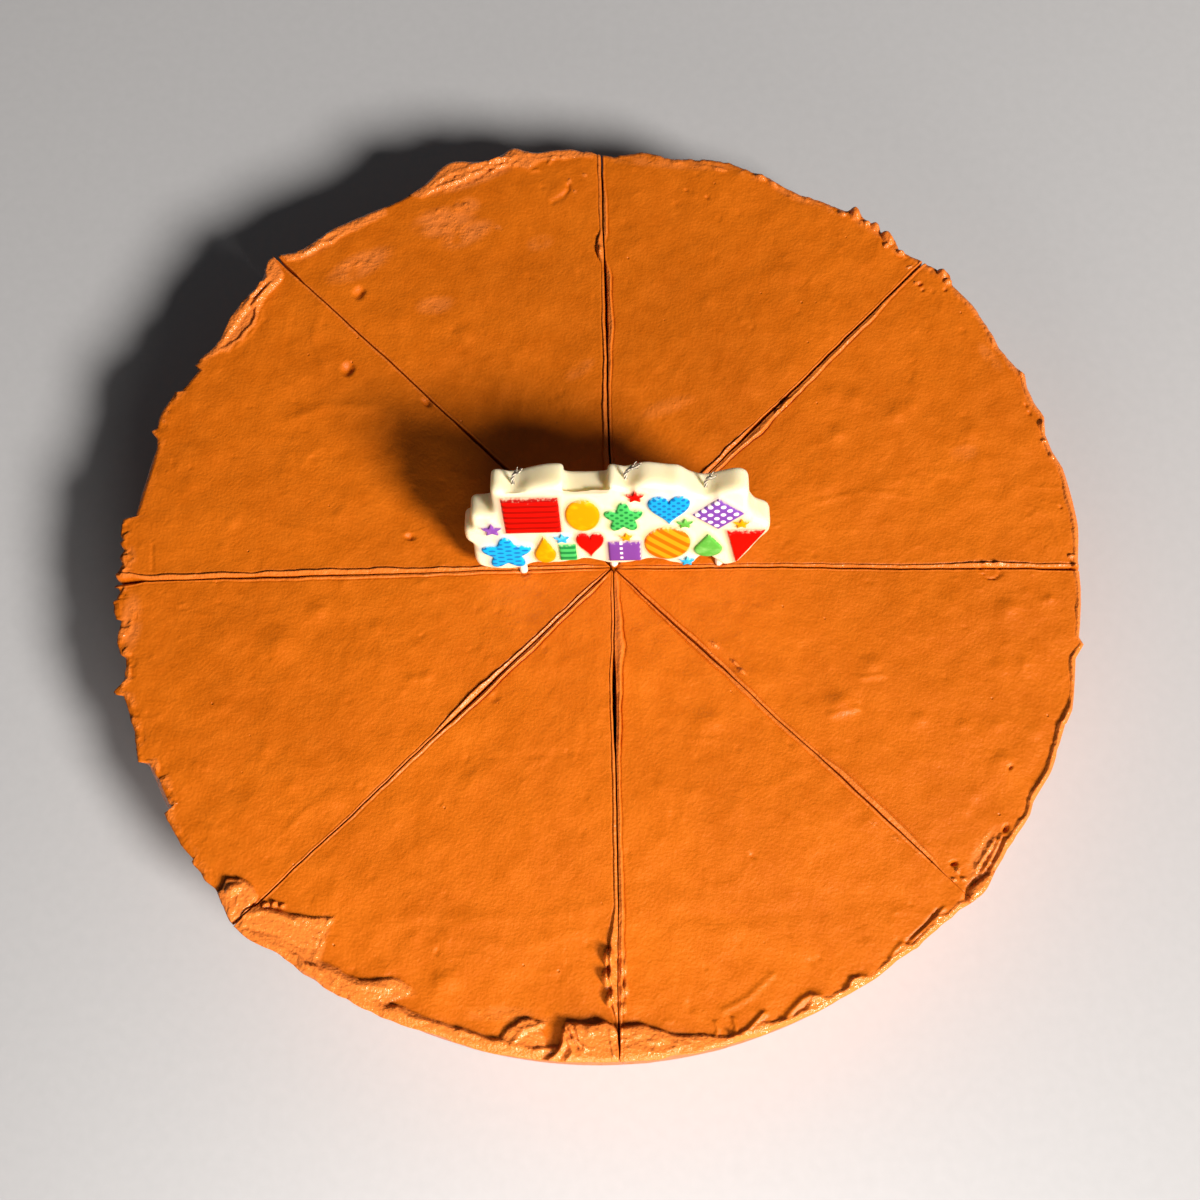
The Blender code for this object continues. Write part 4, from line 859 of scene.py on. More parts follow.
def slice_mesh(name, plan, flat_height):
    """One slice as a closed body: its top, the walls down its outline and a flat foot."""
    tops, heights, gloss, pale = plan.heights(flat_height)
    rows, columns = heights.shape
    numbers = np.arange(rows * columns).reshape(rows, columns)
    faces = grid_faces(numbers)
    outline = np.concatenate([numbers[0], numbers[1:-1, -1], numbers[-1][::-1], numbers[1:-1, 0][::-1]])
    grid_row, grid_column = np.divmod(outline, columns)
    on_rim = grid_row == rows - 1
    distances = plan.distances[grid_row, grid_column]
    rims = plan.distances[-1, grid_column]
    top_height = heights[grid_row, grid_column]
    angles = plan.angles[grid_column]
    wall_depths = np.arange(EDGE_DEPTH + WALL_ROW, flat_height - FOOT_ROUNDING, WALL_ROW)
    depths = [*EDGE_ROWS, *wall_depths, flat_height - FOOT_ROUNDING, flat_height]

    points = [np.concatenate([tops, heights[..., None]], axis=-1).reshape(-1, 3)]
    extra_gloss, extra_pale = [gloss.ravel()], [pale.ravel()]
    upper = outline
    start = rows * columns
    for depth in depths:
        height = top_height * (1.0 - depth / flat_height)
        radius = WALL_RADIUS + (FOOT_RADIUS - WALL_RADIUS) * depth / flat_height
        wall = ray_to_circle(angles, radius - (FOOT_ROUNDING if depth == flat_height else 0.0))
        wall = wall + wall_relief(angles, height) * rise((flat_height - depth) / 2.0)
        hang = np.clip(1.0 - depth / EDGE_DEPTH, 0.0, 1.0) ** 1.4
        reach = distances + (wall - rims) * (1.0 - hang) * rise(1.0 - (rims - distances) / RAGGED_BAND)
        ring = plan.place(reach, grid_column, depth)
        points.append(np.concatenate([ring, height[:, None]], axis=-1))
        # The upper wall under the torn top edge is painted paler: a painted highlight where the light falls
        # on it.
        extra_gloss.append(np.where(on_rim, 0.25 + 0.5 * hang, 0.0))
        extra_pale.append(np.where(on_rim, hang * 0.6, 0.0))
        lower = start + np.arange(len(outline))
        start += len(outline)
        loop = np.stack([np.append(upper, upper[0]), np.append(lower, lower[0])])
        faces += grid_faces(loop[::-1])
        upper = lower
    faces.append(upper[::-1].tolist())
    mesh = array_mesh(name, np.concatenate(points), faces)
    add_layer(mesh, "gloss", "FLOAT", "value", np.concatenate(extra_gloss))
    add_layer(mesh, "pale", "FLOAT", "value", np.concatenate(extra_pale))
    return mesh


# --- Materials -----------------------------------------------------------------------------------
MIX_A, MIX_B = 6, 7         # the sockets of a Mix node that take its two colours
GRAIN_IN_TONE = 0.5         # how much the fine grain counts in the cream's colour
SHEEN_AND_SPREAD_COVER = 0.8          # how far the paler colour covers the cream's own: spread cream, and painted sheen
MOTTLE_ROUGHNESS = 0.16     # how far the roughness follows the mottle
TORN_GRAIN = 1.6            # how much deeper the grain is where the cream was torn or dragged


def add_node(tree, kind, links=None, **settings):
    """Adds a node. Settings are its attributes, and links fill its sockets with values or other outputs.

    A node in links stands for the first of its outputs that is in use.
    """
    node = tree.nodes.new(f"ShaderNode{kind}")
    for key, value in settings.items():
        setattr(node, key, value)
    for socket, value in (links or {}).items():
        if isinstance(value, bpy.types.Node):
            value = next(output for output in value.outputs if output.enabled)
        if isinstance(value, bpy.types.NodeSocket):
            tree.links.new(value, node.inputs[socket])
        else:
            node.inputs[socket].default_value = value
    return node


def start_material(name):
    """A material, its empty node tree, and places on the piece in the piece's own frame."""
    material = bpy.data.materials.new(name)
    material.use_nodes = True
    tree = material.node_tree
    tree.nodes.clear()
    return material, tree, add_node(tree, "TexCoord").outputs["Object"]


def add_shader(tree, links):
    """The shader, with what fills its sockets, and the material's output."""
    add_node(tree, "OutputMaterial", {"Surface": add_node(tree, "BsdfPrincipled", links)})


def opaque(tint):
    """A colour for a socket, from a hex value or a setting."""
    return (*(srgb(tint) if isinstance(tint, str) else tint), 1.0)


def per_metre(millimetres):
    """The scale of a pattern whose period is this long."""
    return 1.0 / (millimetres * MM)


def chocolate_cream(settings):
    """Silken tofu blended with melted chocolate, poured into a tin and set cold.

    The eye sees a fine, matt to satin skin, milk-chocolate brown, a little mottled where it set
    unevenly, and wet-looking where a knife or the tin dragged it. Spread cream is painted paler, and so
    are glossy spots, rubbed patches, burrs and the torn edge: there the paler colour is painted sheen
    and painted highlight.
    """
    material, tree, place = start_material("set chocolate tofu cream")
    broad, mottle, grain = (
        add_node(tree, "TexNoise", {"Vector": place, "Scale": per_metre(lump), "Detail": detail})
        for lump, detail in ((28, 3.0), (5, 4.0), (0.8, 2.0)))
    mixed = add_node(tree, "Math", {0: broad, 1: mottle}, operation="ADD")
    fine = add_node(tree, "Math", {0: grain, 1: GRAIN_IN_TONE, 2: mixed}, operation="MULTIPLY_ADD")
    tone = add_node(tree, "MapRange", {"Value": fine, "From Min": 0.85, "From Max": 1.65})
    dark, light = opaque(settings.dark_cream), opaque(settings.light_cream)
    base = add_node(tree, "Mix", {"Factor": tone, MIX_A: dark, MIX_B: light}, data_type="RGBA")
    # The pale layer: the spread cream's own colour, and painted sheen and painted highlights.
    pale = add_node(tree, "Attribute", attribute_name="pale").outputs["Fac"]
    thin = add_node(tree, "Math", {0: pale, 1: SHEEN_AND_SPREAD_COVER}, operation="MULTIPLY")
    spread = add_node(tree, "Mix", {"Factor": thin, MIX_A: base, MIX_B: opaque(settings.spread_and_sheen_cream)},
                      data_type="RGBA")
    gloss = add_node(tree, "Attribute", attribute_name="gloss").outputs["Fac"]
    smoothest = settings.skin_roughness - MOTTLE_ROUGHNESS / 2
    patchy = add_node(tree, "Math", {0: mottle, 1: MOTTLE_ROUGHNESS, 2: smoothest}, operation="MULTIPLY_ADD")
    rough = add_node(tree, "MapRange", {"Value": gloss, "To Min": patchy, "To Max": settings.wet_roughness})
    pores = add_node(tree, "TexVoronoi", {"Vector": place, "Scale": per_metre(9)})
    pinhole = add_node(tree, "MapRange",
                       {"Value": pores, "From Min": 0.01, "From Max": 0.045, "To Min": -1.5, "To Max": 0.0})
    pitted = add_node(tree, "Math", {0: pinhole, 1: grain}, operation="ADD")
    torn = add_node(tree, "Math", {0: gloss, 1: TORN_GRAIN, 2: 1.0}, operation="MULTIPLY_ADD")
    relief = add_node(tree, "Math", {0: pitted, 1: torn}, operation="MULTIPLY")
    bump = add_node(tree, "Bump", {"Height": relief, "Strength": 0.6, "Distance": settings.grain_depth})
    add_shader(tree, {"Base Color": spread, "Roughness": rough, "Normal": bump, "IOR": 1.45,
                      "Specular IOR Level": 0.38})
    return material


def candle_wax(settings):
    """Cream-white paraffin wax, poured into a mould: smooth, softly glossy and a little translucent.

    Round the motifs a little of their paint has bled into it.
    """
    material, tree, place = start_material("moulded paraffin wax")
    clouds = add_node(tree, "TexNoise", {"Vector": place, "Scale": per_metre(9), "Detail": 2.0})
    thick, thin = opaque(settings.wax), opaque(settings.wax_shade)
    wax = add_node(tree, "Mix", {"Factor": clouds, MIX_A: thick, MIX_B: thin}, data_type="RGBA")
    bleed = add_node(tree, "Attribute", attribute_name="bleed").outputs
    base = add_node(tree, "Mix", {"Factor": bleed["Alpha"], MIX_A: wax, MIX_B: bleed["Color"]},
                    data_type="RGBA")
    rough = add_node(tree, "MapRange", {"Value": clouds, "To Min": 0.28, "To Max": 0.45})
    skin = add_node(tree, "TexNoise", {"Vector": place, "Scale": per_metre(1.2), "Detail": 2.0})
    bump = add_node(tree, "Bump", {"Height": skin, "Strength": 0.2, "Distance": WAX_RELIEF})
    add_shader(tree, {"Base Color": base, "Roughness": rough, "Normal": bump, "IOR": 1.44,
                      "Subsurface Weight": 0.5, "Subsurface Radius": (0.006, 0.0045, 0.003),
                      "Subsurface Scale": 1.0})
    return material


WAX_RELIEF = 0.0001         # depth of the fine relief on wax and paint, in metres
# How spots and dashes are drawn out across, into and up the slab, and how far apart stitches are.
SPOT_STRETCH = {"spots": (1.0, 1.0, 1.0), "dashes": (0.62, 1.0, 1.35)}
STITCH_PERIOD = 2.6
# Each paint: its colour, the pattern's colour, the pattern, and its period in millimetres.
Paint = namedtuple("Paint", "hex_colour pattern_hex pattern period")
PAINTS = {
    "red_bars": Paint("D20502", "960201", "bars", 1.2),
    "red": Paint("D00401", "BC0301", "plain", 1.0),
    "yellow": Paint("D89202", "E6AC08", "plain", 1.0),
    "green_spots": Paint("3DB45A", "107A3C", "spots", 1.7),
    "green_bars": Paint("43B862", "128040", "bars", 1.2),
    "light_green": Paint("54A840", "7CC468", "plain", 1.0),
    "blue_spots": Paint("089CE0", "0468B4", "spots", 1.7),
    "blue_dashes": Paint("08A4E8", "0670BC", "dashes", 1.9),
    "light_blue": Paint("24A6E0", "7CCCF0", "plain", 1.0),
    "purple": Paint("7C48A8", "9A6CC0", "plain", 1.0),
    "purple_spots": Paint("7040A4", "ECE2F0", "spots", 2.3),
    "purple_stitches": Paint("743E98", "ECE2F0", "stitches", 1.1),
    "orange_slants": Paint("E49414", "D86604", "slants", 2.1),
}


def stripes(tree, along, period, start, full):
    """1 on stripes across a direction and 0 between them, with edges that rise from start to full."""
    phase = add_node(tree, "Math", {0: along, 1: per_metre(period)}, operation="MULTIPLY")
    wave = add_node(tree, "Math", {0: phase, 1: 1.0}, operation="PINGPONG")
    return add_node(tree, "MapRange", {"Value": wave, "From Min": start, "From Max": full})


def pattern_share(tree, place, paint):
    """1 where a motif's pattern is, from its place in the slab's own frame."""
    if paint.pattern == "plain":
        brushed = add_node(tree, "TexNoise", {"Vector": place, "Scale": per_metre(2.5), "Detail": 2.0})
        return add_node(tree, "MapRange", {"Value": brushed, "From Min": 0.5, "From Max": 0.8})
    if paint.pattern in SPOT_STRETCH:
        sized = add_node(tree, "VectorMath", {0: place, 1: SPOT_STRETCH[paint.pattern]}, operation="MULTIPLY")
        turned = add_node(tree, "VectorRotate", {"Vector": sized, "Angle": math.radians(45)},
                          rotation_type="Y_AXIS")
        level = add_node(tree, "VectorMath", {0: turned, 1: (1.0, 0.0, 1.0)}, operation="MULTIPLY")
        cells = add_node(tree, "TexVoronoi",
                         {"Vector": level, "Scale": per_metre(paint.period), "Randomness": 0.0})
        return add_node(tree, "MapRange", {"Value": cells, "From Min": 0.34, "From Max": 0.26})
    parts = add_node(tree, "SeparateXYZ", {0: place}).outputs
    along = parts["Z"]
    if paint.pattern == "slants":
        along = add_node(tree, "Math", {0: parts["X"], 1: parts["Z"]}, operation="ADD")
    share = stripes(tree, along, paint.period, 0.45, 0.6)
    if paint.pattern != "stitches":
        return share
    thread = stripes(tree, parts["X"], STITCH_PERIOD, 0.82, 0.9)
    return add_node(tree, "Math", {0: share, 1: thread}, operation="MULTIPLY")


def wax_paint(name, paint, settings):
    """Coloured wax paint, printed on the raised motifs: glossy, turning in specks towards the wax's colour at
    their sides and tops.
    """
    material, tree, place = start_material(f"printed wax paint, {name.replace('_', ' ')}")
    share = pattern_share(tree, place, paint)
    ground, figure = opaque(paint.hex_colour), opaque(paint.pattern_hex)
    motif = add_node(tree, "Mix", {"Factor": share, MIX_A: ground, MIX_B: figure}, data_type="RGBA")
    toward_wax = add_node(tree, "Attribute", attribute_name="toward_wax").outputs["Fac"]
    worn = add_node(tree, "TexNoise", {"Vector": place, "Scale": per_metre(0.9), "Detail": 3.0})
    thin = add_node(tree, "Math", {0: toward_wax, 1: worn}, operation="ADD")
    cover = add_node(tree, "MapRange", {"Value": thin, "From Min": 0.85, "From Max": 1.3, "To Max": 0.7})
    # Lighter towards the wax's colour on the motif's sides, most on those that face up, and in specks near
    # its top.
    base = add_node(tree, "Mix", {"Factor": cover, MIX_A: motif, MIX_B: opaque(settings.wax)},
                    data_type="RGBA")
    bump = add_node(tree, "Bump", {"Height": worn, "Strength": 0.15, "Distance": WAX_RELIEF})
    add_shader(tree, {"Base Color": base, "Normal": bump, "Roughness": 0.42, "IOR": 1.46,
                      "Specular IOR Level": 0.12})
    return material


def cotton_wick(name, hex_colour):
    """Twisted cotton, dipped in wax, its colour mixed in fine specks with a dark grey-brown."""
    material, tree, place = start_material(name)
    fibre = add_node(tree, "TexNoise", {"Vector": place, "Scale": per_metre(0.5), "Detail": 3.0})
    share = add_node(tree, "MapRange", {"Value": fibre, "From Min": 0.34, "From Max": 0.5})
    base = add_node(tree, "Mix", {"Factor": share, MIX_A: opaque("3A322A"), MIX_B: opaque(hex_colour)},
                    data_type="RGBA")
    add_shader(tree, {"Base Color": base, "Roughness": 0.7, "Sheen Weight": 0.3})
    return material


def pin_plastic(settings):
    """Injection-moulded white polypropylene, with chocolate rubbed onto it where it enters the cream."""
    material, tree, place = start_material("moulded white polypropylene")
    up = add_node(tree, "SeparateXYZ", {0: place}).outputs["Z"]
    smudge = add_node(tree, "TexNoise", {"Vector": place, "Scale": per_metre(1.0), "Detail": 3.0})
    uneven = add_node(tree, "Math", {0: smudge, 1: 1.6 * MM, 2: up}, operation="MULTIPLY_ADD")
    dirty = add_node(tree, "MapRange", {"Value": uneven, "From Min": 33.2 * MM, "From Max": 32.7 * MM})
    white, smeared = opaque("F1EBDD"), opaque(settings.dark_cream)
    base = add_node(tree, "Mix", {"Factor": dirty, MIX_A: white, MIX_B: smeared}, data_type="RGBA")
    add_shader(tree, {"Base Color": base, "Roughness": 0.35, "IOR": 1.49})
    return material


def floor_paper():
    """A seamless sheet of pale card."""
    material, tree, place = start_material("pale studio card")
    fibre = add_node(tree, "TexNoise", {"Vector": place, "Scale": per_metre(3), "Detail": 2.0})
    base = add_node(tree, "Mix", {"Factor": fibre, MIX_A: opaque("AEB3BE"), MIX_B: opaque("B4B9C4")},
                    data_type="RGBA")
    add_shader(tree, {"Base Color": base, "Roughness": 0.8, "Specular IOR Level": 0.2})
    return material


# --- Candle shapes -------------------------------------------------------------------------------
def candle_frame():
    """The slab's own frame: x across, y into the slab, z up along it."""
    return Matrix.Translation(Vector(CANDLE_PLACE) * MM) @ Matrix.Rotation(-math.radians(SLAB_LEAN), 4, "X")


def smooth_outline(points, steps):
    """Catmull-Rom curve through a closed run of points."""
    knots = np.array(points, float)
    before, after, further = np.roll(knots, 1, 0), np.roll(knots, -1, 0), np.roll(knots, -2, 0)
    curve = []
    for t in np.arange(steps) / steps:
        bend = 2 * before - 5 * knots + 4 * after - further
        twist = 3 * knots - before - 3 * after + further
        curve.append(0.5 * (2 * knots + (after - before) * t + bend * t ** 2 + twist * t ** 3))
    return np.stack(curve, axis=1).reshape(-1, 2)


def ring_shape(radii):
    """An outline whose radius runs through a list, evenly round a centre."""
    angles = 90.0 + np.arange(len(radii)) * 360.0 / len(radii)
    return direction(angles) * np.array(radii)[:, None]


def flat_sided(corners, per_side):
    """Points evenly along the sides between corners."""
    corners = np.array(corners, float)
    steps = np.arange(per_side)[:, None] / per_side
    return np.concatenate([a + (b - a) * steps for a, b in zip(corners, np.roll(corners, -1, 0))])


def unit_outline(shape):
    """The outline of a motif, in a square of side 1 about its middle."""
    if shape == "disc":
        return ring_shape([0.5] * 60)
    if shape == "star":
        return flat_sided(ring_shape([0.5, 0.24] * 5), 5)
    if shape == "flower":
        petals = 0.8 + 0.2 * np.cos(math.tau * 5 * np.arange(80) / 80)
        return ring_shape(petals / 2)
    if shape == "diamond":
        return flat_sided(ring_shape([0.5] * 4), 14)
    if shape == "square":
        return flat_sided([(-0.5, -0.5), (0.5, -0.5), (0.5, 0.5), (-0.5, 0.5)], 14)
    if shape == "drop":
        round_end = direction(np.arange(150, 391, 12)) * (0.5, 0.32) - (0.0, 0.18)
        return np.concatenate([flat_sided([(0, 0.5), round_end[0]], 8)[:8], round_end,
                               flat_sided([round_end[-1], (0, 0.5)], 8)[1:8]])
    if shape == "heart":
        t = math.tau * np.arange(64) / 64
        z = 13 * np.cos(t) - 5 * np.cos(2 * t) - 2 * np.cos(3 * t) - np.cos(4 * t)
        return np.stack([np.sin(t) ** 3 / 2, (z + 2.5) / 29], axis=-1)
    if shape == "pennant":
        return flat_sided([(-0.5, 0.5), (-0.25, -0.5), (0.5, 0.5)], 14)
    raise ValueError(f"no motif shape named {shape}")


def headings(outline):
    """The direction along a closed outline at each of its points."""
    along = np.roll(outline, -1, 0) - np.roll(outline, 1, 0)
    return along / np.linalg.norm(along, axis=1)[:, None]


def upright(ring, depth):
    """An outline's points at a depth behind the slab's front."""
    return np.stack([ring[:, 0], np.full(len(ring), depth), ring[:, 1]], axis=-1)


def motif_outline(motif):
    """The outline of a motif about its own middle."""
    return unit_outline(motif.shape) * (motif.width, motif.height)


def motif_mesh(motif):
    """A raised motif with softly rounded edges, and how far its paint turns towards the wax's colour: most on
    sides that face up, and near its top.
    """
    outline = motif_outline(motif)
    facing_up = np.abs(headings(outline)[:, 0]) * (outline[:, 1] > 0)
    points, toward_wax = [], []
    for scale, depth, side_toward_wax in MOTIF_SECTION:
        ring = outline * scale
        near_top = rise((ring[:, 1] / motif.height - 0.30) / 0.20)
        toward_wax.append(np.maximum(side_toward_wax * (0.3 + 0.45 * facing_up), 0.36 * near_top))
        points.append(upright(ring + (motif.x, motif.z), depth))
    faces = stack_faces(len(MOTIF_SECTION), len(outline))
    mesh = array_mesh(f"motif_{motif.name}", np.concatenate(points), faces, smooth=False)
    work = bmesh.new()
    work.from_mesh(mesh)
    bmesh.ops.recalc_face_normals(work, faces=work.faces)
    work.to_mesh(mesh)
    work.free()
    mesh.shade_smooth()
    mesh.set_sharp_from_angle(angle=math.radians(50))
    add_layer(mesh, "toward_wax", "FLOAT", "value", np.concatenate(toward_wax))
    return mesh


def nearest_motif(x, z):
    """Distance to the nearest motif, 0 inside it, and its number."""
    nearest, number = np.full(np.shape(x), 1e6), np.zeros(np.shape(x), int)
    for index, motif in enumerate(MOTIFS):
        close = np.abs(x - motif.x) < motif.width / 2 + MOTIF_REACH
        close &= np.abs(z - motif.z) < motif.height / 2 + MOTIF_REACH
        outline = tuple(map(tuple, motif_outline(motif) + (motif.x, motif.z)))
        distance = distance_to_line(x[close], z[close], outline + outline[:1])
        distance = np.where(inside_outline(x[close], z[close], outline), 0.0, distance)
        closer = distance < nearest[close]
        nearest[close] = np.where(closer, distance, nearest[close])
        number[close] = np.where(closer, index, number[close])
    return nearest, number


def slab_block():
    """The slab as it leaves its mould: the wavy outline, drawn in towards its front and back edges."""
    outline = smooth_outline(SLAB_OUTLINE, 6)
    inward = headings(outline)[:, ::-1] * (1.0, -1.0)
    rings = [upright(outline + inward * inset, depth) for depth, inset in SLAB_SECTION]
    return array_mesh("slab_block", np.concatenate(rings), stack_faces(len(rings), len(outline)))


def slab_mesh(settings):
    """The wax slab: its block, melted round by remeshing and smoothing, then sunk and swollen in places."""
    slab = add_object("slab_block", slab_block())
    remesh = slab.modifiers.new("fine even mesh", "REMESH")
    remesh.mode = "VOXEL"
    remesh.voxel_size = settings.slab_voxel
    soften = slab.modifiers.new("melted edges", "SMOOTH")
    soften.factor = 0.5
    soften.iterations = 2
    graph = bpy.context.evaluated_depsgraph_get()
    mesh = bpy.data.meshes.new_from_object(slab.evaluated_get(graph))
    mesh.name = "candle_slab"
    bpy.data.objects.remove(slab)
    place = np.zeros(len(mesh.vertices) * 3)
    mesh.vertices.foreach_get("co", place)
    place = place.reshape(-1, 3) / MM
    x, y, z = place.T
    near_front = rise((SLAB_FRONT - y) / FRONT_FADE)
    uneven = waves(x, z, (0.12, 7.0, 201), (0.05, 2.5, 202))
    distance, number = nearest_motif(x, z)
    swell = PEDESTAL_HEIGHT * rise(1.0 - distance / PEDESTAL_WIDTH)
    sunk = np.zeros(len(x))
    for wick in WICKS.values():
        across, deep, up = HOLLOW_SIZE
        reach = ((x - wick.x - 0.6) / across) ** 2 + ((z - wick.dip) / up) ** 2
        reach = reach + ((y - SLAB_FRONT) / deep) ** 2
        sunk = np.maximum(sunk, WICK_HOLLOW * np.exp(-reach))
    place[:, 1] += near_front * (np.minimum(uneven, 0.1) - swell) - (1.0 - near_front) * (y > 5) * uneven
    place[:, 1] += 0.45 * sunk * near_front
    place[:, 2] -= sunk
    mesh.vertices.foreach_set("co", (place * MM).ravel())
    mesh.shade_smooth()
    bleed = np.array([srgb(PAINTS[motif.paint].hex_colour) for motif in MOTIFS])[number]
    share = 0.5 * np.exp(-(distance / 0.8) ** 2) * near_front
    add_layer(mesh, "bleed", "FLOAT_COLOR", "color", np.concatenate([bleed, share[:, None]], axis=1))
    return mesh


def wick_path(wick, count):
    """Points up the wick, leaning over at its free end."""
    up = np.linspace(0.0, 1.0, count)
    height = wick.dip - WICK_IN_SLAB + up * (WICK_IN_SLAB + wick.rise)
    free = np.clip((height - wick.dip - 0.8) / (wick.rise - 0.8), 0.0, 1.0)
    return np.stack([wick.x + wick.side * free ** 1.6, np.full(count, SLAB_THICKNESS / 2), height], axis=-1)


def tube(points, radii, sides=8):
    """Points and faces of a closed tube along a line of points."""
    ahead = np.gradient(points, axis=0)
    ahead /= np.linalg.norm(ahead, axis=1)[:, None]
    across = np.cross(ahead, (0.0, 1.0, 0.0))
    across /= np.linalg.norm(across, axis=1)[:, None]
    deep = np.cross(ahead, across)
    turn = np.arange(sides) * math.tau / sides
    rings = points[:, None] + radii[:, None, None] * (np.cos(turn)[None, :, None] * across[:, None]
                                                      + np.sin(turn)[None, :, None] * deep[:, None])
    return rings.reshape(-1, 3), stack_faces(len(points), sides)


def wick_mesh(name, wick, settings):
    """Loosely twisted plies, pale and dark by turns, that spread at the free end."""
    path = wick_path(wick, 64)
    share = np.linspace(0.0, 1.0, len(path))
    length = WICK_IN_SLAB + wick.rise
    points, faces, face_ply = [], [], []
    for ply in range(settings.plies):
        turn = math.tau * (ply / settings.plies + share * length * MM / settings.twist)
        spread = rise((share - 0.72) / 0.28) * (0.6 + 0.8 * (ply * 0.37 % 1.0))
        offset = WICK_RADIUS * (0.6 + 1.1 * spread)
        centre = path + np.stack([np.cos(turn), np.sin(turn), 0.0 * turn], axis=-1) * offset[:, None]
        centre[:, 2] -= spread * (ply % 3) * PLY_DROOP
        taper = 1.0 - PLY_TAPER * rise((share - 0.8) / 0.2)
        rings, sides = tube(centre, WICK_RADIUS * PLY_THICKNESS * taper)
        start = sum(len(part) for part in points)
        points.append(rings)
        faces += [[number + start for number in face] for face in sides]
        face_ply += [ply % 2] * len(sides)
    mesh = array_mesh(name, np.concatenate(points), faces)
    mesh.polygons.foreach_set("material_index", face_ply)
    return mesh


# --- Settings ------------------------------------------------------------------------------------
def number(name, description, default, **kind):
    """A number that a user can change."""
    return FloatProperty(name=name, description=description, default=default, **kind)


def tint(name, description, hex_colour):
    """A colour that a user can change."""
    return FloatVectorProperty(name=name, description=description, default=srgb(hex_colour), subtype="COLOR")


class TartSettings(bpy.types.PropertyGroup):
    """Sizes and colours of the tart"""

    height: number("Height", "Height of the tart's level top", 0.032, unit="LENGTH")
    columns: IntProperty(name="Columns", description="Columns across half a slice", default=124, min=8)
    row: number("Row", "Distance between the rows", 0.00075, unit="LENGTH")
    dark_cream: tint("Dark cream", "Cream where it set darkest", "BA5B02")
    light_cream: tint("Light cream", "Cream where it set lightest", "CE6A08")
    # Also the colour of the painted sheen and painted highlights on glossy, rubbed and lit places.
    spread_and_sheen_cream: tint("Spread cream", "Thin cream that a knife dragged", "DC7B36")
    skin_roughness: number("Skin roughness", "Roughness of the set skin", 0.48, subtype="FACTOR")
    wet_roughness: number("Wet roughness", "Roughness of dragged cream", 0.16, subtype="FACTOR")
    grain_depth: number("Grain depth", "Depth of the fine grain", 0.00025, unit="LENGTH")


class CandleSettings(bpy.types.PropertyGroup):
    """Sizes and colours of the candle"""

    slab_voxel: number("Slab voxel", "Fineness of the slab's mesh", 0.00045, unit="LENGTH")
    wax: tint("Wax", "Colour of the wax", "F8EFD0")
    wax_shade: tint("Wax shade", "Wax where it is thin", "F5E7C2")
    plies: IntProperty(name="Plies", description="Plies twisted into a wick", default=6, min=2)
    twist: number("Twist", "Length of one turn of a ply", 0.0065, unit="LENGTH")


class StudioSettings(bpy.types.PropertyGroup):
    """Floor, lamps and camera"""

    floor: number("Floor", "Width of the floor", 6.0, unit="LENGTH")
    key_turn: number("Key azimuth", "Where the key lamp stands, from +X anticlockwise", math.radians(-43.6),
                     subtype="ANGLE")
    key_rise: number("Key elevation", "Height of the key lamp above the horizon", math.radians(35.9),
                     subtype="ANGLE")
    key_away: number("Key distance", "From the tart to the key lamp", 2.2, unit="LENGTH")
    key_size: number("Key size", "Width of the key lamp", 0.6, unit="LENGTH")
    key_power: number("Key power", "Power of the key lamp", 93.5, unit="POWER")
    fill_power: number("Fill power", "Power of the fill lamp in front", 0.56, unit="POWER")
    fill_size: number("Fill size", "Width of the fill lamp", 0.2, unit="LENGTH")
    ambient: number("Ambient", "Strength of the light all round", 0.05)


# --- Operators -----------------------------------------------------------------------------------
def add_candle_piece(mesh, materials, *finish):
    """A piece of the candle, whose mesh is in the slab's own frame."""
    piece = add_object(mesh.name, mesh, *materials)
    piece.matrix_world = candle_frame()
    dress(piece, *finish)


class TART_OT_slices(bpy.types.Operator):
    """Make the eight slices of set chocolate cream"""

    bl_idname = "tofu_tart.slices"
    bl_label = "Slices"

    def execute(self, context):
        settings = context.scene.tart
        cream = chocolate_cream(settings)
        for number, (first, second) in enumerate(pairwise(CUTS + CUTS[:1]), start=1):
            plan = SlicePlan(first, second, settings.columns, settings.row / MM)
            mesh = slice_mesh(f"cream_slice_{number}", plan, settings.height / MM)
            dress(add_object(mesh.name, mesh, cream), "chocolate_cream", f"slice_{number}")
        return {"FINISHED"}


class TART_OT_slab(bpy.types.Operator):
    """Make the candle's wax slab"""

    bl_idname = "tofu_tart.slab"
    bl_label = "Candle slab"

    def execute(self, context):
        settings = context.scene.candle
        add_candle_piece(slab_mesh(settings), [candle_wax(settings)], "candle_wax", "candle_plaque")
        return {"FINISHED"}


class TART_OT_motifs(bpy.types.Operator):
    """Make the painted motifs on the slab's front"""

    bl_idname = "tofu_tart.motifs"
    bl_label = "Painted motifs"

    def execute(self, context):
        settings = context.scene.candle
        paints = {name: wax_paint(name, paint, settings) for name, paint in PAINTS.items()}
        for motif in MOTIFS:
            add_candle_piece(motif_mesh(motif), [paints[motif.paint]], "candle_wax")
        return {"FINISHED"}


class TART_OT_wicks(bpy.types.Operator):
    """Make the three twisted wicks"""

    bl_idname = "tofu_tart.wicks"
    bl_label = "Wicks"

    def execute(self, context):
        settings = context.scene.candle
        # The plies take the pale and the dark cotton by turns.
        cotton = (cotton_wick("waxed cotton wick", "E8E0D0"), cotton_wick("darker cotton wick", "3C3229"))
        for side, wick in WICKS.items():
            mesh = wick_mesh(f"wick_{side}", wick, settings)
            add_candle_piece(mesh, cotton, "candle_wick", f"candle_wick_{side}")
        return {"FINISHED"}


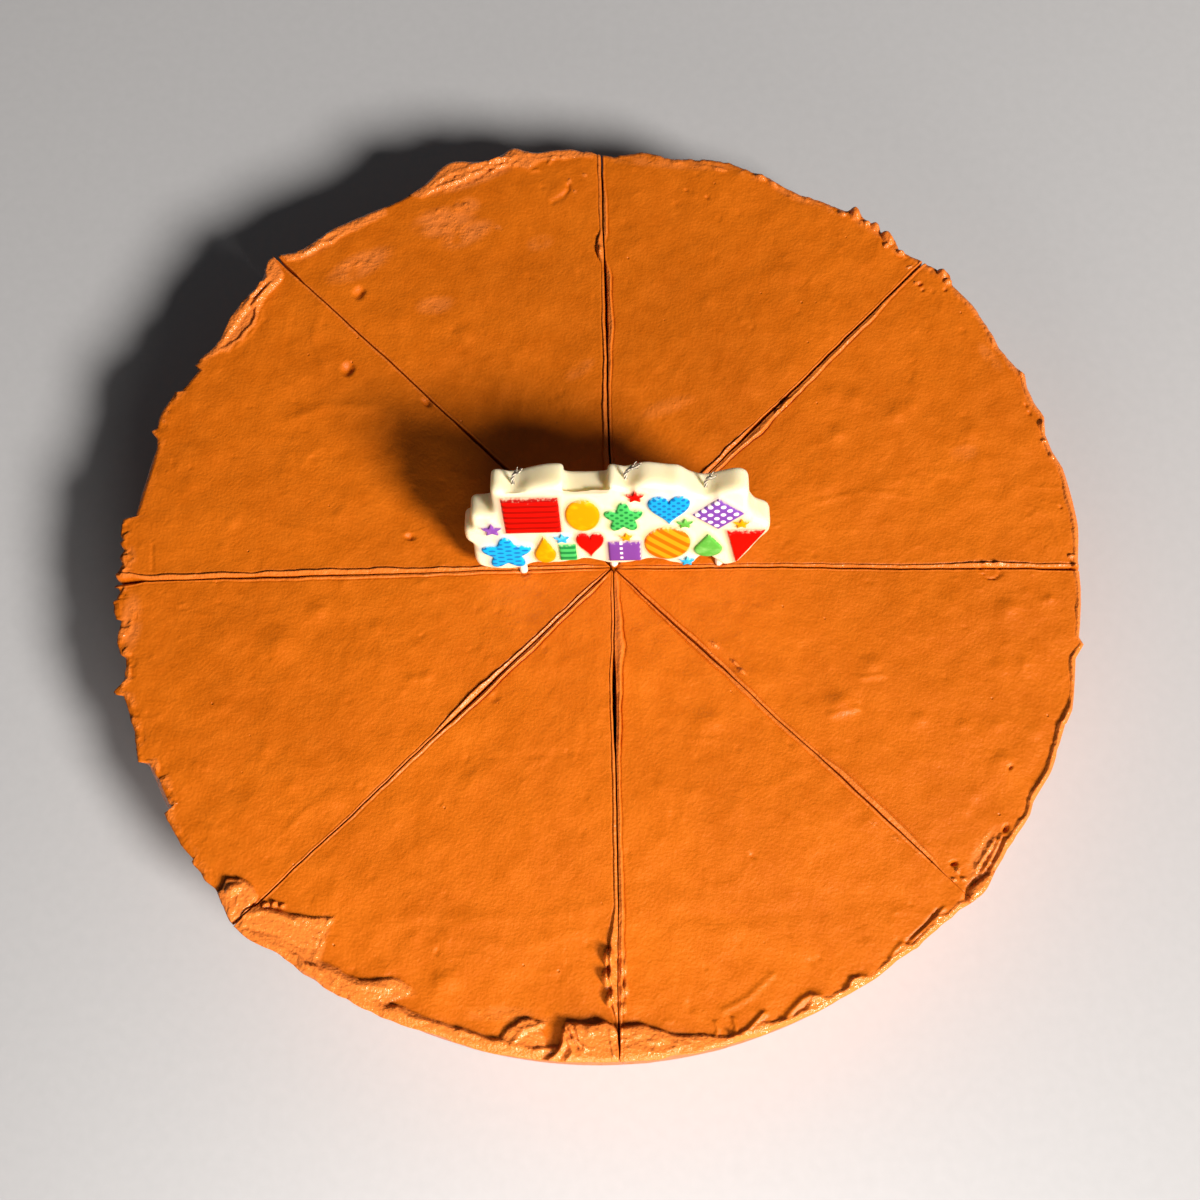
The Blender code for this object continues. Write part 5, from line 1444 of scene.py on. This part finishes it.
class TART_OT_pins(bpy.types.Operator):
    """Give the candle's pins their plastic"""

    bl_idname = "tofu_tart.pins"
    bl_label = "Pins"

    def execute(self, context):
        plastic = pin_plastic(context.scene.tart)
        for side in PINS:
            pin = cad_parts[f"candle_pin_{side}"]
            pin.data.materials.clear()
            pin.data.materials.append(plastic)
        return {"FINISHED"}


class TART_OT_studio(bpy.types.Operator):
    """Make the floor, the lamps and the camera"""

    bl_idname = "tofu_tart.studio"
    bl_label = "Studio"

    def execute(self, context):
        settings = context.scene.studio
        half = settings.floor / 2
        floor_mesh = bpy.data.meshes.new("studio_floor")
        floor_mesh.from_pydata([(-half, -half, 0), (half, -half, 0), (half, half, 0), (-half, half, 0)], [],
                               [(0, 1, 2, 3)])
        add_object("studio_floor", floor_mesh, floor_paper())

        turn, lift = settings.key_turn, settings.key_rise
        key_place = Vector((math.cos(turn) * math.cos(lift), math.sin(turn) * math.cos(lift), math.sin(lift)))
        self.add_lamp("key", key_place * settings.key_away, settings.key_size, settings.key_power)
        self.add_lamp("fill", Vector(FILL_PLACE) * MM, settings.fill_size, settings.fill_power)

        world = bpy.data.worlds.new("studio air")
        world.use_nodes = True
        sky = world.node_tree.nodes["Background"]
        sky.inputs["Color"].default_value = opaque(AIR_TINT)
        sky.inputs["Strength"].default_value = settings.ambient
        context.scene.world = world

        lens = bpy.data.cameras.new("photo_camera")
        lens.lens = CAMERA_LENS
        lens.sensor_width = SENSOR
        lens.clip_start = 0.01
        camera = add_object("photo_camera", lens)
        place, aim = Vector(CAMERA_PLACE) * MM, Vector(CAMERA_AIM) * MM
        turned = (aim - place).to_track_quat("-Z", "Y").to_matrix().to_4x4()
        rolled = turned @ Matrix.Rotation(math.radians(CAMERA_ROLL), 4, "Z")
        camera.matrix_world = Matrix.Translation(place) @ rolled
        context.scene.camera = camera
        context.scene.view_settings.view_transform = "Standard"
        return {"FINISHED"}

    @staticmethod
    def add_lamp(name, place, size, power):
        lamp = bpy.data.lights.new(name, "AREA")
        lamp.shape = "DISK"
        lamp.size = size
        lamp.energy = power
        lamp.color = srgb(LAMP_TINT)
        thing = add_object(name, lamp)
        thing.location = place
        thing.rotation_mode = "QUATERNION"
        thing.rotation_quaternion = place.to_track_quat("Z", "Y")


class TART_PT_panel(bpy.types.Panel):
    """The tart's pieces, in the order in which they are made"""

    bl_idname = "TART_PT_panel"
    bl_label = "Chocolate tofu tart"
    bl_space_type = "VIEW_3D"
    bl_region_type = "UI"
    bl_category = "Tart"

    def draw(self, context):
        for operator in OPERATORS:
            self.layout.operator(operator.bl_idname)
        for group in (context.scene.tart, context.scene.candle, context.scene.studio):
            box = self.layout.box()
            for name in group.__annotations__:
                box.prop(group, name)


OPERATORS = (TART_OT_slices, TART_OT_slab, TART_OT_motifs, TART_OT_wicks, TART_OT_pins, TART_OT_studio)
CLASSES = (TartSettings, CandleSettings, StudioSettings, *OPERATORS, TART_PT_panel)


def register():
    for cls in CLASSES:
        bpy.utils.register_class(cls)
    bpy.types.Scene.tart = PointerProperty(type=TartSettings)
    bpy.types.Scene.candle = PointerProperty(type=CandleSettings)
    bpy.types.Scene.studio = PointerProperty(type=StudioSettings)


def unregister():
    for name in ("tart", "candle", "studio"):
        delattr(bpy.types.Scene, name)
    for cls in reversed(CLASSES):
        bpy.utils.unregister_class(cls)


def main():
    register()
    bpy.ops.tofu_tart.slices()
    bpy.ops.tofu_tart.slab()
    bpy.ops.tofu_tart.motifs()
    bpy.ops.tofu_tart.wicks()
    bpy.ops.tofu_tart.pins()
    bpy.ops.tofu_tart.studio()


if __name__ == "__main__":
    main()
